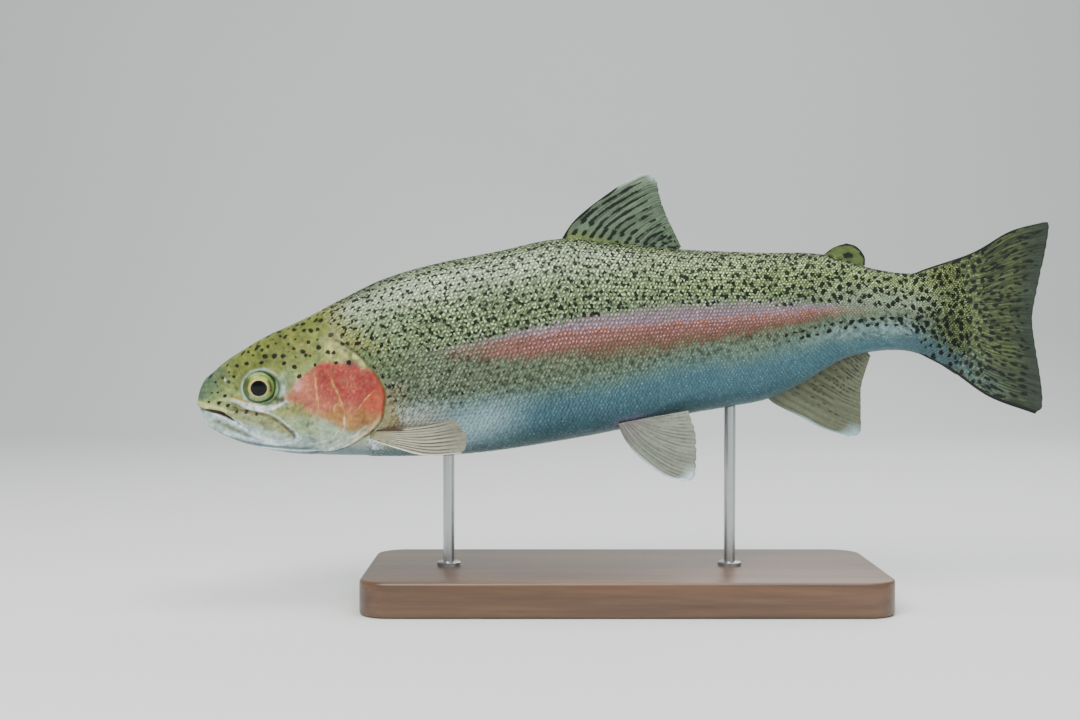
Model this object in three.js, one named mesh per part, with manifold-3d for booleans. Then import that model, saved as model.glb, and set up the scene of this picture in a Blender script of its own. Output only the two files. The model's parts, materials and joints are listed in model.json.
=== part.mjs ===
// A life-size rainbow trout, a swimming pose with the nose a little low, carried over a plain
// display base by two short rods. Millimetres, +Z up, the tail towards +X, the left side towards -Y.
// The flesh is one smooth body parted by thin cuts into head, jaws, gill covers, trunk and tail.
// Places on the fish are percents of its total length: along it from the snout, and up from the snout.
import * as THREE from "three";
import { ParametricGeometry } from "three/addons/geometries/ParametricGeometry.js";
import { mergeVertices } from "three/addons/utils/BufferGeometryUtils.js";
import Module from "manifold-3d";

const wasm = await Module();
wasm.setup();

// Driving sizes.
const TOTAL_LENGTH = 450;
const PERCENT = TOTAL_LENGTH / 100;
const GAP = 0.3; // between two pieces that meet
const BASE = { length: 270, width: 112, thickness: 18, corner: 16, chamfer: 2 };
const ROD = { radius: 3, clearance: 58, front: 29.5, rear: 62.6 };

// The body: each pair is a place along the fish and a value there, all in percent.
const BACK = [
  [0, 1.7], [1.5, 2.7], [3.5, 4.4], [8, 7.1], [12.7, 9.3], [17, 11.55], [22, 13.95], [28, 15.7],
  [35, 17.1], [42.4, 18.6], [49, 18.15], [56.7, 17.4], [66, 17.0], [73, 16.85],
  [79.5, 15.1], [84, 14.6], [87.2, 15.6], [91.8, 17.4],
];
const BELLY = [
  [0, -3.1], [1.5, -3.75], [3.5, -4.7], [6.8, -5.8], [11.4, -6.6], [17, -6.85], [25, -6.9], [33, -6.5],
  [42.6, -5.1], [50, -3.7], [57.6, -1.95], [62.5, -1.1], [67, -0.2], [71.2, 1.75], [75.5, 4.3], [79, 5.3],
  [83, 5.5], [85.9, 4.65], [89.2, 2.6], [91.8, 0.75],
];
const WIDTH = [
  [0, 3.6], [1.5, 4.5], [3.5, 5.7], [7.5, 7.9], [11, 9.5], [15.5, 10.8], [20, 11.4], [26, 11.45],
  [33, 11.9], [42, 12.1], [51, 11.3], [60, 9.4], [67, 7.5], [73.5, 5.6], [79, 4.1],
  [84, 2.6], [88, 1.2], [91.8, 0.6],
];
const WIDEST_HEIGHT = [
  [0, -0.9], [7.5, 0.6], [12, 1.7], [17, 3.3], [22, 5.2], [32, 6.1], [42.6, 7.6], [57, 9.2],
  [71, 10.1], [80, 10.3], [91.8, 9.3],
];
// How a section narrows to the back and to the belly: 1 is an ellipse, under 1 is fuller.
const BACK_TAPER = [[0, 0.9], [10, 0.86], [20, 0.98], [35, 1.08], [80, 1.05], [91.8, 1]];
const BELLY_TAPER = [[0, 1], [8, 1.1], [16, 0.95], [30, 0.88], [55, 0.88], [70, 1], [91.8, 1]];
const BODY_END = 91.8; // where the flesh ends inside the tail fin
const NOSE_ROUND = 1.3;
const NOSE_HEIGHT = -0.9;
const END_ROUND = 3;

// Outlines on the sides, as [along, up] in percent, as they look from a viewing place beside the fish.
// The sides are nearer to it than the middle, so each is drawn in towards the place it faces.
const VIEWED_FROM = { along: 40.2, up: 4.4, share: 0.974 };
const HEAD_REAR = [
  [11.2, 11], [13.1, 9.2], [15.2, 8], [17.7, 6.7], [19.6, 5.4], [21, 3.7], [22, 1.7], [22.25, 0],
  [22.1, -1.7], [21.5, -3.2], [20, -4.6], [17.5, -5.7], [14.8, -6.3], [12.6, -6.9], [11.6, -8],
];
const GILL_COVER_FRONT = [
  [14.2, 3.9], [15.3, 2.4], [16.4, 0.6], [17.2, -1.4], [17.4, -3.3], [16.6, -4.9], [15.2, -5.75],
];
const GILL_COVER_REAR = [
  [16.2, -5.9], [17.9, -5.35], [19.8, -4.3], [21.15, -3.1], [21.8, -1.6], [21.95, 0], [21.7, 1.6],
  [20.7, 3.5],
  [19.3, 5.1], [17.5, 6.3], [15.6, 5.4],
];
const UPPER_LIP = [
  [-1, -1.15], [0.4, -1.2], [1.9, -1.5], [3.6, -2.15], [5.2, -2.75],
  [6.5, -3.5], [7.8, -4.35], [8.9, -4.95], [10.2, -5.25], [11.6, -5.1],
];
const LOWER_LIP = [
  [-1, -1.65], [0.6, -1.65], [2.1, -1.85], [3.7, -2.3], [5.2, -2.85],
  [6.5, -3.6], [7.8, -4.45], [8.9, -5.05], [10.2, -5.35], [11.5, -5.2],
];
const JAW_REAR = [[12.4, -5.9], [13.4, -8.5]];
const MAXILLA = [
  [1.6, -1.2], [4.1, -1.15], [5.8, -1.55], [7.5, -2.05], [8.9, -2.65], [10.3, -3.55], [11.4, -4.35],
  [11.55, -4.8],
  [11.1, -5.02], [10.2, -5.1], [8.9, -4.8], [7.8, -4.2], [6.5, -3.35], [5.2, -2.6], [3.6, -2.0],
];
const COVER_PROUD = 0.9; // the gill covers stand this far out of the body, in mm
const COVER_DEPTH = 2.4; // and go this far into it
const MAXILLA_PROUD = 0.5;
const MAXILLA_DEPTH = 2.2;
const TAIL_START = 67.2; // the trunk and the tail part here, at the vent

const EYE = { along: 8.05, up: 1.28, radius: 8.5, depth: 5.4, proud: 1.7 };

// Fins in side view. Rays run from base to margin; leading and trailing are its first and last ray.
const DORSAL = {
  leading: [[42.2, 17.9], [44.4, 20.9], [48.8, 24.35], [51.6, 25.95], [53.1, 26.3]],
  margin: [[53.1, 26.3], [53.9, 25.3], [54.4, 23.2], [55.3, 20.9], [56.8, 17.7]],
  trailing: [[55.9, 16.6], [56.8, 17.7]],
  base: [[42.2, 17.9], [49, 17.3], [55.9, 16.6]],
  root: 2.8, edge: 0.8,
};
const ADIPOSE = {
  leading: [[72.9, 16.2], [74.6, 17.55], [76.2, 18.1]],
  margin: [[76.2, 18.1], [77.4, 17.7], [78.3, 16.6], [78.4, 15.5]],
  trailing: [[76.6, 15.1], [78.4, 15.5]],
  base: [[72.9, 16.2], [76.6, 15.1]],
  root: 2.2, edge: 1.1,
};
const ANAL = {
  leading: [[67.2, 0.9], [69.9, -1.85], [73.2, -3.5], [76.6, -4.65]],
  margin: [[76.6, -4.65], [77.9, -4.1], [78, -1.4], [78.1, 1.6], [79.1, 4.9]],
  trailing: [[78.2, 5.9], [79.1, 4.9]],
  base: [[67.2, 0.9], [71.6, 2.8], [75, 4.9], [78.2, 5.9]],
  root: 2.6, edge: 0.8,
};
const CAUDAL = {
  leading: [[83, 13.3], [84.6, 14.75], [90.9, 16.95], [95.4, 19.5], [99.4, 20.6]],
  margin: [[99.4, 20.6], [99.98, 19.9], [98.7, 13], [98.1, 9.4], [98.6, 5.4], [99.4, -0.6], [98.5, -1.95]],
  trailing: [[83, 6.6], [84.9, 5.15], [88.6, 3.15], [93.1, 0.05], [98.5, -1.95]],
  base: [[83, 13.3], [87.4, 10], [83, 6.6]],
  root: 2.2, edge: 0.8,
};
// A paired fin also leans out from the body: root is its distance from the middle at the base, in mm,
// flare how far its outer end stands out beyond that, and fold how far its trailing ray turns in.
const PELVIC = {
  leading: [[49.3, -2.9], [50.9, -5.9], [53.9, -8.5], [56.6, -9.45]],
  margin: [[56.6, -9.45], [57.9, -9.0], [58.2, -6.6], [58.1, -3.8], [57.3, -1.35]],
  trailing: [[51.8, -2.4], [57.3, -1.35]],
  base: [[49.3, -2.9], [51.8, -2.4]],
  root: 2.4, edge: 0.8,
  out: 12.5, flare: 9, fold: 3,
};
const PECTORAL = {
  leading: [[20.6, -4.7], [23.4, -5.75], [26.6, -6.7], [31, -6.25]],
  margin: [[31, -6.25], [31.7, -5.5], [31.7, -4.3], [30.6, -2.85]],
  trailing: [[20.9, -3.7], [24.6, -3.75], [30.6, -2.85]],
  base: [[20.6, -4.7], [20.9, -3.7]],
  root: 2.6, edge: 0.8,
  out: 16.5, flare: 21, fold: -1.5,
};

const FAR = 120; // beyond the fish on every side, in mm
const BODY_FACES = { around: 26, along: 46 };
const FIN_FACES = { rays: 7, length: 6 };

// Makes a smooth curve through [place, value] pairs, to be read at any place.
function curveThrough(pairs) {
  const slopes = pairs.map((_, i) => {
    const before = pairs[Math.max(i - 1, 0)];
    const after = pairs[Math.min(i + 1, pairs.length - 1)];
    return (after[1] - before[1]) / (after[0] - before[0]);
  });
  return (place) => {
    let i = 0;
    while (i < pairs.length - 2 && place > pairs[i + 1][0]) i += 1;
    const span = pairs[i + 1][0] - pairs[i][0];
    const t = THREE.MathUtils.clamp((place - pairs[i][0]) / span, 0, 1);
    const rise = pairs[i + 1][1] - pairs[i][1];
    const curve = (1 - t) * (slopes[i] * span - rise) - t * (slopes[i + 1] * span - rise);
    return pairs[i][1] + t * rise + t * (1 - t) * curve;
  };
}

const backHeight = curveThrough(BACK);
const bellyHeight = curveThrough(BELLY);
const fullWidth = curveThrough(WIDTH);
const widestHeight = curveThrough(WIDEST_HEIGHT);
const backTaper = curveThrough(BACK_TAPER);
const bellyTaper = curveThrough(BELLY_TAPER);

// The blunt rounding of one end of the flesh: 0 at its tip, 1 once a length away from it.
function tipRounding(distance, length) {
  return Math.sqrt(1 - Math.max(0, 1 - distance / length) ** 2);
}

// A point of the body's surface, in mm. Turn runs round the section: 0 is the left side, a quarter
// the back, a half the right side. Grow moves the surface out, in mm.
function bodyPoint(along, turn, grow, target) {
  const angle = turn * 2 * Math.PI;
  const nose = tipRounding(along, NOSE_ROUND);
  const rounding = nose * tipRounding(BODY_END - along, END_ROUND);
  const up = Math.sin(angle) > 0;
  const middle = THREE.MathUtils.lerp(NOSE_HEIGHT, widestHeight(along), nose) * PERCENT;
  const reach = up ? backHeight(along) - widestHeight(along) : widestHeight(along) - bellyHeight(along);
  const taper = up ? backTaper(along) : bellyTaper(along);
  const half = (fullWidth(along) / 2) * PERCENT + grow;
  const side = Math.sign(Math.cos(angle)) * Math.abs(Math.cos(angle)) ** taper;
  const stretch = 1 + (2 * grow) / (BODY_END * PERCENT);
  return target.set(
    along * PERCENT * stretch - grow,
    -half * side * rounding,
    middle + (reach * PERCENT + grow) * Math.sin(angle) * rounding,
  );
}

// A manifold solid from a closed three.js geometry, whichever way its faces are wound.
function solidOf(geometry) {
  const bare = geometry.clone();
  bare.deleteAttribute("normal");
  bare.deleteAttribute("uv");
  const merged = mergeVertices(bare, 1e-3);
  const index = merged.index.array;
  const kept = [];
  for (let i = 0; i < index.length; i += 3) {
    const [a, b, c] = index.slice(i, i + 3);
    if (a !== b && b !== c && c !== a) kept.push(a, b, c);
  }
  const vertProperties = merged.attributes.position.array;
  const make = (triVerts) => new wasm.Manifold(new wasm.Mesh({ numProp: 3, vertProperties, triVerts }));
  const solid = make(new Uint32Array(kept));
  return solid.volume() > 0 ? solid : make(new Uint32Array(kept.reverse()));
}

function geometryOf(solid) {
  const { numProp, vertProperties, triVerts } = solid.getMesh();
  const positions = new Float32Array((vertProperties.length / numProp) * 3);
  for (let i = 0; i < positions.length / 3; i += 1) {
    positions.set(vertProperties.subarray(i * numProp, i * numProp + 3), i * 3);
  }
  const geometry = new THREE.BufferGeometry();
  geometry.setAttribute("position", new THREE.BufferAttribute(positions, 3));
  geometry.setIndex(new THREE.BufferAttribute(new Uint32Array(triVerts), 1));
  geometry.computeVertexNormals();
  return geometry;
}

// The whole body, with rings closer together towards the nose and the rear end.
function bodySolid(grow) {
  const crowding = 0.85;
  const surface = (around, run, target) => {
    const along = BODY_END * (run - (crowding * Math.sin(2 * Math.PI * run)) / (2 * Math.PI));
    bodyPoint(THREE.MathUtils.clamp(along, 0, BODY_END), around, grow, target);
  };
  return solidOf(new ParametricGeometry(surface, BODY_FACES.around, BODY_FACES.along));
}

const toMillimetres = ([along, up]) => new THREE.Vector2(along * PERCENT, up * PERCENT);

// Points along smooth curves through each list in turn, as one closed outline in mm.
function outlineThrough(...lists) {
  return lists.flatMap((list) =>
    list.length > 2
      ? new THREE.SplineCurve(list.map(toMillimetres)).getPoints(Math.ceil(list.length * 1.5))
      : list.map(toMillimetres),
  );
}

// The same outline where it lies on the sides.
function onSides(list) {
  const { along, up, share } = VIEWED_FROM;
  return list.map((place) => [along + (place[0] - along) * share, up + (place[1] - up) * share]);
}

// Moves each point of a closed outline outwards, further at a sharp corner.
function grownOutline(points, distance) {
  const out = THREE.ShapeUtils.isClockWise(points) ? -1 : 1;
  return points.map((point, i) => {
    const before = points[(i + points.length - 1) % points.length];
    const after = points[(i + 1) % points.length];
    const edge = point.clone().sub(before).normalize();
    const direction = after.clone().sub(point).normalize().add(edge).normalize();
    const move = (out * distance) / Math.max(edge.dot(direction), 0.5);
    return new THREE.Vector2(point.x + direction.y * move, point.y - direction.x * move);
  });
}

// The outline carried across the fish, from one distance left of the middle to another.
function prism(points, from = -FAR, to = FAR) {
  const options = { depth: to - from, bevelEnabled: false };
  const geometry = new THREE.ExtrudeGeometry(new THREE.Shape(points), options);
  geometry.rotateX(Math.PI / 2);
  geometry.translate(0, to, 0);
  return solidOf(geometry);
}

const mirrored = (solid) => solid.mirror([0, 1, 0]);

// The largest body of what a cut leaves.
const mainBody = (solid) =>
  solid.decompose().reduce((best, body) => (body.volume() > best.volume() ? body : best));

// A plate let into the left side of the body, and the pocket that clears it.
function sidePlate(outline, proud, depth) {
  const shell = bodySolid(proud).subtract(bodySolid(-depth));
  const clear = bodySolid(proud + 2).subtract(bodySolid(-depth - GAP));
  return {
    plate: shell.intersect(prism(outline, -FAR, -1)),
    pocket: clear.intersect(prism(grownOutline(outline, GAP), -FAR, 0)),
  };
}

// A fin as a thin plate, thick at the root, between its two faces. It is a patch stretched over
// four edges; the ring round it is zipped shut at the base and at the margin.
function finSolid(fin, faces = FIN_FACES) {
  const curve = (list) =>
    list.length > 2
      ? new THREE.SplineCurve(list.map(toMillimetres))
      : new THREE.LineCurve(...list.map(toMillimetres));
  const [leading, margin, trailing, base] = [fin.leading, fin.margin, fin.trailing, fin.base].map(curve);
  const mixed = (pointA, pointB, share) => pointA.clone().lerp(pointB, share);
  const ringLength = 2 * (faces.rays + 1);
  const surface = (around, run, target) => {
    const step = Math.round(around * ringLength) % ringLength;
    const front = step <= faces.rays;
    const across = (front ? step : ringLength - 1 - step) / faces.rays;
    const row = Math.round(run * (faces.length + 2));
    const zipped = row === 0 || row === faces.length + 2;
    const out = THREE.MathUtils.clamp((row - 1) / faces.length, 0, 1);
    const corners = mixed(
      mixed(base.getPoint(0), base.getPoint(1), across),
      mixed(margin.getPoint(0), margin.getPoint(1), across),
      out,
    );
    const point = mixed(base.getPoint(across), margin.getPoint(across), out)
      .add(mixed(leading.getPoint(out), trailing.getPoint(out), across))
      .sub(corners);
    const thickness = fin.edge + (fin.root - fin.edge) * (1 - out) ** 2;
    const lean = fin.out ? fin.out + fin.flare * out ** 1.2 - fin.fold * across * out : 0;
    const face = zipped ? 0 : (front ? -thickness : thickness) / 2;
    target.set(point.x, face - lean, point.y);
  };
  return solidOf(new ParametricGeometry(surface, ringLength, faces.length + 2));
}

const body = bodySolid(0);
const cleared = bodySolid(GAP);

// Head, jaws and gill covers.
const headOutline = outlineThrough(onSides(HEAD_REAR), [[-5, -8], [-5, 11]]);
const jawOutline = outlineThrough(onSides(LOWER_LIP), JAW_REAR, [[-1, -8.5]]);
const underLipOutline = grownOutline(outlineThrough(onSides(UPPER_LIP), JAW_REAR, [[-1, -8.5]]), GAP / 2);
const coverOutline = outlineThrough(onSides(GILL_COVER_FRONT), onSides(GILL_COVER_REAR));
const maxillaOutline = outlineThrough(onSides([...MAXILLA, MAXILLA[0]])).slice(0, -1);

const cover = sidePlate(coverOutline, COVER_PROUD, COVER_DEPTH);
const maxilla = sidePlate(maxillaOutline, MAXILLA_PROUD, MAXILLA_DEPTH);

const eyeAt = bodyPoint(EYE.along, 0.02, 0, new THREE.Vector3());
function eyeSolid(grow) {
  const geometry = new THREE.SphereGeometry(1, 18, 10);
  geometry.rotateX(Math.PI / 2);
  geometry.scale(EYE.radius + grow, EYE.depth + grow, EYE.radius * 0.96 + grow);
  geometry.translate(EYE.along * PERCENT, eyeAt.y + EYE.depth - EYE.proud, EYE.up * PERCENT);
  return solidOf(geometry);
}
const eye = eyeSolid(0);
const socket = eyeSolid(GAP);

const pockets = [cover.pocket, maxilla.pocket, socket].flatMap((pocket) => [pocket, mirrored(pocket)]);
const wholeHead = body.intersect(prism(headOutline)).subtract(prism(underLipOutline));
const head = pockets.reduce((solid, pocket) => solid.subtract(pocket), wholeHead);
const lowerJaw = pockets.reduce((solid, pocket) => solid.subtract(pocket), body.intersect(prism(jawOutline)));

// Trunk and tail.
const behindHead = body
  .subtract(prism(grownOutline(headOutline, GAP)))
  .subtract(cover.pocket)
  .subtract(mirrored(cover.pocket));
const tailBlock = (start) =>
  prism([[start, -10], [95, -10], [95, 30], [start, 30]].map(toMillimetres));
const tail = behindHead.intersect(tailBlock(TAIL_START));
const trunk = behindHead.subtract(tailBlock(TAIL_START - GAP / PERCENT));

// The outline of the flesh inside the tail fin, grown so that the fin clears it.
const FLESH_STEPS = 24;
const fleshStart = 74;
const fleshOutline = [];
for (let i = 0; i <= FLESH_STEPS; i += 1) {
  const along = fleshStart + (BODY_END - fleshStart) * Math.sin((i / FLESH_STEPS) * (Math.PI / 2));
  const point = bodyPoint(along, 0.25, GAP, new THREE.Vector3());
  fleshOutline.push(new THREE.Vector2(point.x, point.z));
}
for (let i = FLESH_STEPS - 1; i >= 0; i -= 1) {
  const along = fleshStart + (BODY_END - fleshStart) * Math.sin((i / FLESH_STEPS) * (Math.PI / 2));
  const point = bodyPoint(along, 0.75, GAP, new THREE.Vector3());
  fleshOutline.push(new THREE.Vector2(point.x, point.z));
}

const pelvic = finSolid(PELVIC).subtract(cleared);
const pectoral = finSolid(PECTORAL).subtract(cleared);

// Display stand.
const bellyLowest = -6.9 * PERCENT;
const snoutHeight = BASE.thickness + ROD.clearance - bellyLowest;
const fishPlace = [-TOTAL_LENGTH / 2, 0, snoutHeight];

function baseGeometry() {
  const { length, width, thickness, corner, chamfer } = BASE;
  const halfLength = length / 2 - chamfer;
  const halfWidth = width / 2 - chamfer;
  const shape = new THREE.Shape();
  shape.absarc(halfLength - corner, halfWidth - corner, corner, 0, Math.PI / 2);
  shape.absarc(corner - halfLength, halfWidth - corner, corner, Math.PI / 2, Math.PI);
  shape.absarc(corner - halfLength, corner - halfWidth, corner, Math.PI, 1.5 * Math.PI);
  shape.absarc(halfLength - corner, corner - halfWidth, corner, 1.5 * Math.PI, 2 * Math.PI);
  shape.closePath();
  const depth = thickness - 2 * chamfer;
  const geometry = new THREE.ExtrudeGeometry(shape, {
    depth, curveSegments: 6, bevelThickness: chamfer, bevelSize: chamfer, bevelSegments: 1,
  });
  return geometry.translate(0, 0, chamfer);
}

// A rod from the top of the base up to the belly, its top cut to the belly's shape.
function rodSolid(along) {
  const top = BASE.thickness + ROD.clearance + FAR / 2;
  const geometry = new THREE.CylinderGeometry(ROD.radius, ROD.radius, top - BASE.thickness, 20);
  geometry.rotateX(Math.PI / 2);
  geometry.translate(along * PERCENT - TOTAL_LENGTH / 2, 0, (top + BASE.thickness) / 2);
  const pieces = solidOf(geometry).subtract(cleared.translate(fishPlace)).decompose();
  return pieces.sort((a, b) => a.boundingBox().min[2] - b.boundingBox().min[2])[0];
}

// Materials.
const material = (color, roughness, metalness = 0) =>
  new THREE.MeshStandardMaterial({ color, roughness, metalness });
const OLIVE_BACK = material(0x7d8661, 0.4, 0.1);
const SILVER_JAW = material(0xb9c4bf, 0.35, 0.1);
const ROSY_COVER = material(0xb0665a, 0.35, 0.1);
const GREEN_FLANK = material(0x7e8f78, 0.4, 0.15);
const DARK_FIN = material(0x56613f, 0.45);
const PALE_FIN = material(0x9ba193, 0.45);
const GOLD_EYE = material(0x8d9560, 0.1);
const DARK_WOOD = material(0x4a3426, 0.5);
const STEEL = material(0x9a9da0, 0.3, 1);

const trout = new THREE.Group();
trout.position.set(...fishPlace);
function addPiece(group, name, geometry, finish) {
  const mesh = new THREE.Mesh(geometry, finish);
  mesh.name = name;
  group.add(mesh);
}
function addPair(name, solid, finish) {
  addPiece(trout, `${name}_left`, geometryOf(solid), finish);
  addPiece(trout, `${name}_right`, geometryOf(mirrored(solid)), finish);
}

addPiece(trout, "head", geometryOf(head), OLIVE_BACK);
addPiece(trout, "lower_jaw", geometryOf(lowerJaw), SILVER_JAW);
addPair("maxilla", maxilla.plate, SILVER_JAW);
addPair("gill_cover", cover.plate, ROSY_COVER);
addPair("eye", eye, GOLD_EYE);
addPiece(trout, "trunk", geometryOf(trunk), GREEN_FLANK);
addPiece(trout, "tail", geometryOf(tail), GREEN_FLANK);
addPiece(trout, "fin_dorsal", geometryOf(finSolid(DORSAL).subtract(cleared)), DARK_FIN);
addPiece(trout, "fin_adipose", geometryOf(finSolid(ADIPOSE).subtract(cleared)), DARK_FIN);
addPiece(trout, "fin_anal", geometryOf(finSolid(ANAL).subtract(cleared)), PALE_FIN);
const tailFin = mainBody(finSolid(CAUDAL, { rays: 12, length: 7 }).subtract(prism(fleshOutline)));
addPiece(trout, "fin_caudal", geometryOf(tailFin), DARK_FIN);
addPair("fin_pelvic", pelvic, PALE_FIN);
addPair("fin_pectoral", pectoral, PALE_FIN);

const stand = new THREE.Group();
addPiece(stand, "stand_base", baseGeometry(), DARK_WOOD);
addPiece(stand, "stand_rod_front", geometryOf(rodSolid(ROD.front)), STEEL);
addPiece(stand, "stand_rod_rear", geometryOf(rodSolid(ROD.rear)), STEEL);

const model = new THREE.Group();
model.add(trout, stand);

export default model;
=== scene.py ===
"""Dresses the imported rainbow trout: one wet skin with its markings, solid scales over it, the eyes,
rayed fins, an oiled wood and steel stand, and a plain studio. Until the meshes are made, lengths on
the fish are percents of its total length: along it from the snout, and up from the snout."""

import json
import math

import bpy
import numpy as np
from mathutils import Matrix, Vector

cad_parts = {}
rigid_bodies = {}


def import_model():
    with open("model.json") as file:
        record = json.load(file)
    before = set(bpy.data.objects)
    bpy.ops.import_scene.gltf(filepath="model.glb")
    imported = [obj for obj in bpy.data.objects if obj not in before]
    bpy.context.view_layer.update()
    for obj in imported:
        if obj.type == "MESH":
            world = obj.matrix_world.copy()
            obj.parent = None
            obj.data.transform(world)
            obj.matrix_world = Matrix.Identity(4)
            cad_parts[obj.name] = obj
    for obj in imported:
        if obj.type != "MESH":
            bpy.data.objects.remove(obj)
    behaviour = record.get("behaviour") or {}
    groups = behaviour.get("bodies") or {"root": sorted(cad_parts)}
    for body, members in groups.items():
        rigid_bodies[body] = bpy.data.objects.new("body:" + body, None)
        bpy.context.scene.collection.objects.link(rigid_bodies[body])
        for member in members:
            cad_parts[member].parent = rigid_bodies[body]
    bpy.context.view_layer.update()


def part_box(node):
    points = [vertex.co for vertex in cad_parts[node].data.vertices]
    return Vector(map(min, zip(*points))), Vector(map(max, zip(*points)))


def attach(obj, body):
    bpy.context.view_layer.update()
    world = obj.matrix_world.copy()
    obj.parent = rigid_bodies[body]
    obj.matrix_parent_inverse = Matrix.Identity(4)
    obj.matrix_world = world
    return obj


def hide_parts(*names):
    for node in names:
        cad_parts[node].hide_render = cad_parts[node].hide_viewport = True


bl_info = {
    "name": "Rainbow trout on a display stand",
    "version": (1, 0, 0),
    "blender": (4, 5, 0),
    "location": "3D Viewport > Sidebar > Trout",
    "description": "Builds the skin, scales, eyes, fins, stand and studio around the packed trout",
    "category": "Object",
}

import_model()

PERCENT = 0.0045  # a percent of the fish's length, in metres
MM = 0.001
TO_MM = PERCENT / MM
FISH_X = -0.225
FISH_Z = 0.10705

# The body, as in the solids: each pair is a place along the fish and a value there, in percent.
BACK = [
    (0, 1.7), (1.5, 2.7), (3.5, 4.4), (8, 7.1), (12.7, 9.3), (17, 11.55), (22, 13.95), (28, 15.7),
    (35, 17.1), (42.4, 18.6), (49, 18.15), (56.7, 17.4), (66, 17.0), (73, 16.85), (79.5, 15.1),
    (84, 14.6), (87.2, 15.6), (91.8, 17.4),
]
BELLY = [
    (0, -3.1), (1.5, -3.75), (3.5, -4.7), (6.8, -5.8), (11.4, -6.6), (17, -6.85), (25, -6.9),
    (33, -6.5), (42.6, -5.1), (50, -3.7), (57.6, -1.95), (62.5, -1.1), (67, -0.2), (71.2, 1.75),
    (75.5, 4.3), (79, 5.3), (83, 5.5), (85.9, 4.65), (89.2, 2.6), (91.8, 0.75),
]
WIDTH = [
    (0, 3.6), (1.5, 4.5), (3.5, 5.7), (7.5, 7.9), (11, 9.5), (15.5, 10.8), (20, 11.4), (26, 11.45),
    (33, 11.9), (42, 12.1), (51, 11.3), (60, 9.4), (67, 7.5), (73.5, 5.6), (79, 4.1), (84, 2.55),
    (88, 1.0), (91.8, 0.3),
]
WIDEST_HEIGHT = [
    (0, -0.9), (7.5, 0.6), (12, 1.7), (17, 3.3), (22, 5.2), (32, 6.1), (42.6, 7.6), (57, 9.2),
    (71, 10.1), (80, 10.3), (91.8, 9.3),
]
BACK_TAPER = [(0, 0.9), (10, 0.86), (20, 0.98), (35, 1.08), (80, 1.05), (91.8, 1)]
BELLY_TAPER = [(0, 1), (8, 1.1), (16, 0.95), (30, 0.88), (55, 0.88), (70, 1), (91.8, 1)]
BODY_END = 91.8
NOSE_ROUND = 1.3
NOSE_HEIGHT = -0.9
END_ROUND = 3

# Lines on the head, as (along, up) in percent, as they look from a viewing place beside the fish.
# The sides are nearer to that place than the middle is, so they look a little larger.
VIEWED_FROM = (40.2, 4.4, 176.4)  # the place it faces, and how far off it is
MOUTH_LINE = [
    (0, -1.15), (0.6, -1.4), (1.6, -1.6), (2.6, -1.85), (3.6, -2.3), (4.4, -2.75), (5.5, -3.35),
    (6.9, -4.25), (8.0, -4.8), (9.1, -5.12), (10.2, -5.05), (11.1, -4.75),
]
MAXILLA = [
    (3.0, -1.9), (3.6, -1.5), (4.6, -1.45), (5.6, -1.6), (7.0, -1.85), (8.2, -2.1), (9.3, -2.7),
    (10.4, -3.55), (11.2, -4.25), (11.3, -4.6), (11.0, -4.85), (10.2, -5.0), (9.1, -5.05),
    (8.0, -4.72), (6.9, -4.15), (5.5, -3.25), (4.4, -2.65), (3.6, -2.2),
]
COVER_REAR = [
    (12.2, -6.5), (14.2, -6.3), (16.0, -6.1), (17.9, -5.5), (19.2, -4.7), (20.5, -3.8),
    (21.5, -2.6), (21.85, -0.9), (21.95, 0.6), (21.3, 2.1), (20.2, 3.6), (18.8, 5.1), (16.9, 6.35),
    (15.0, 6.9),
]
SCALE_BORDER = [
    (12.8, 12.5), (14.3, 10.3), (15.4, 8.7), (16.4, 7.4), (17.5, 6.3), (18.9, 5.15), (20.4, 3.65),
    (21.6, 2.2), (22.15, 0.6), (22.1, -0.9), (21.8, -2.6), (20.8, -4.0), (19.4, -5.0), (18.0, -5.8),
    (16.0, -6.4), (12.2, -6.8), (10.0, -7.6),
]
PREOPERCLE = [
    (14.9, 4.0), (15.8, 2.05), (16.6, 0.4), (17.2, -1.6), (17.4, -2.8), (17.0, -4.1), (15.9, -5.2),
    (14.2, -5.9),
]
CHEEK_LINE = [(13.5, 3.7), (13.95, 1.3), (14.2, -0.2), (14.3, -1.7)]
SUBOPERCLE = [(20.8, 1.2), (19.7, 0.0), (18.3, -1.7)]
INTEROPERCLE = [(17.2, -3.4), (15.6, -4.6), (13.4, -5.4), (11.8, -5.6)]
JAW_BAND = [
    (1.4, -1.95), (2.4, -2.2), (3.4, -2.62), (4.4, -3.05), (5.6, -3.7), (6.9, -4.5), (8.0, -5.0),
    (9.8, -5.3),
]
CHIN_LINE = [(1.7, -3.5), (3.0, -4.35), (5.7, -5.25), (9.3, -5.75), (12.9, -5.95), (15.3, -5.6)]
INFRAORBITAL = [
    (3.3, -0.05), (4.4, -0.42), (5.6, -0.82), (6.9, -1.1), (8.1, -1.15), (9.4, -0.9), (10.7, -0.1),
]
BRANCHIALS = [
    [(14.6, -5.95), (16.6, -5.35), (18.6, -4.2), (20.3, -2.9)],
    [(14.4, -6.15), (16.9, -5.7), (18.9, -4.6), (20.9, -3.0)],
]
NOSTRILS = [(2.85, 2.3), (3.55, 1.85)]
EYE = (7.44, 1.24)  # as it looks from beside the fish
EYE_PLACE = (8.05, 1.28)  # where it lies
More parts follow.
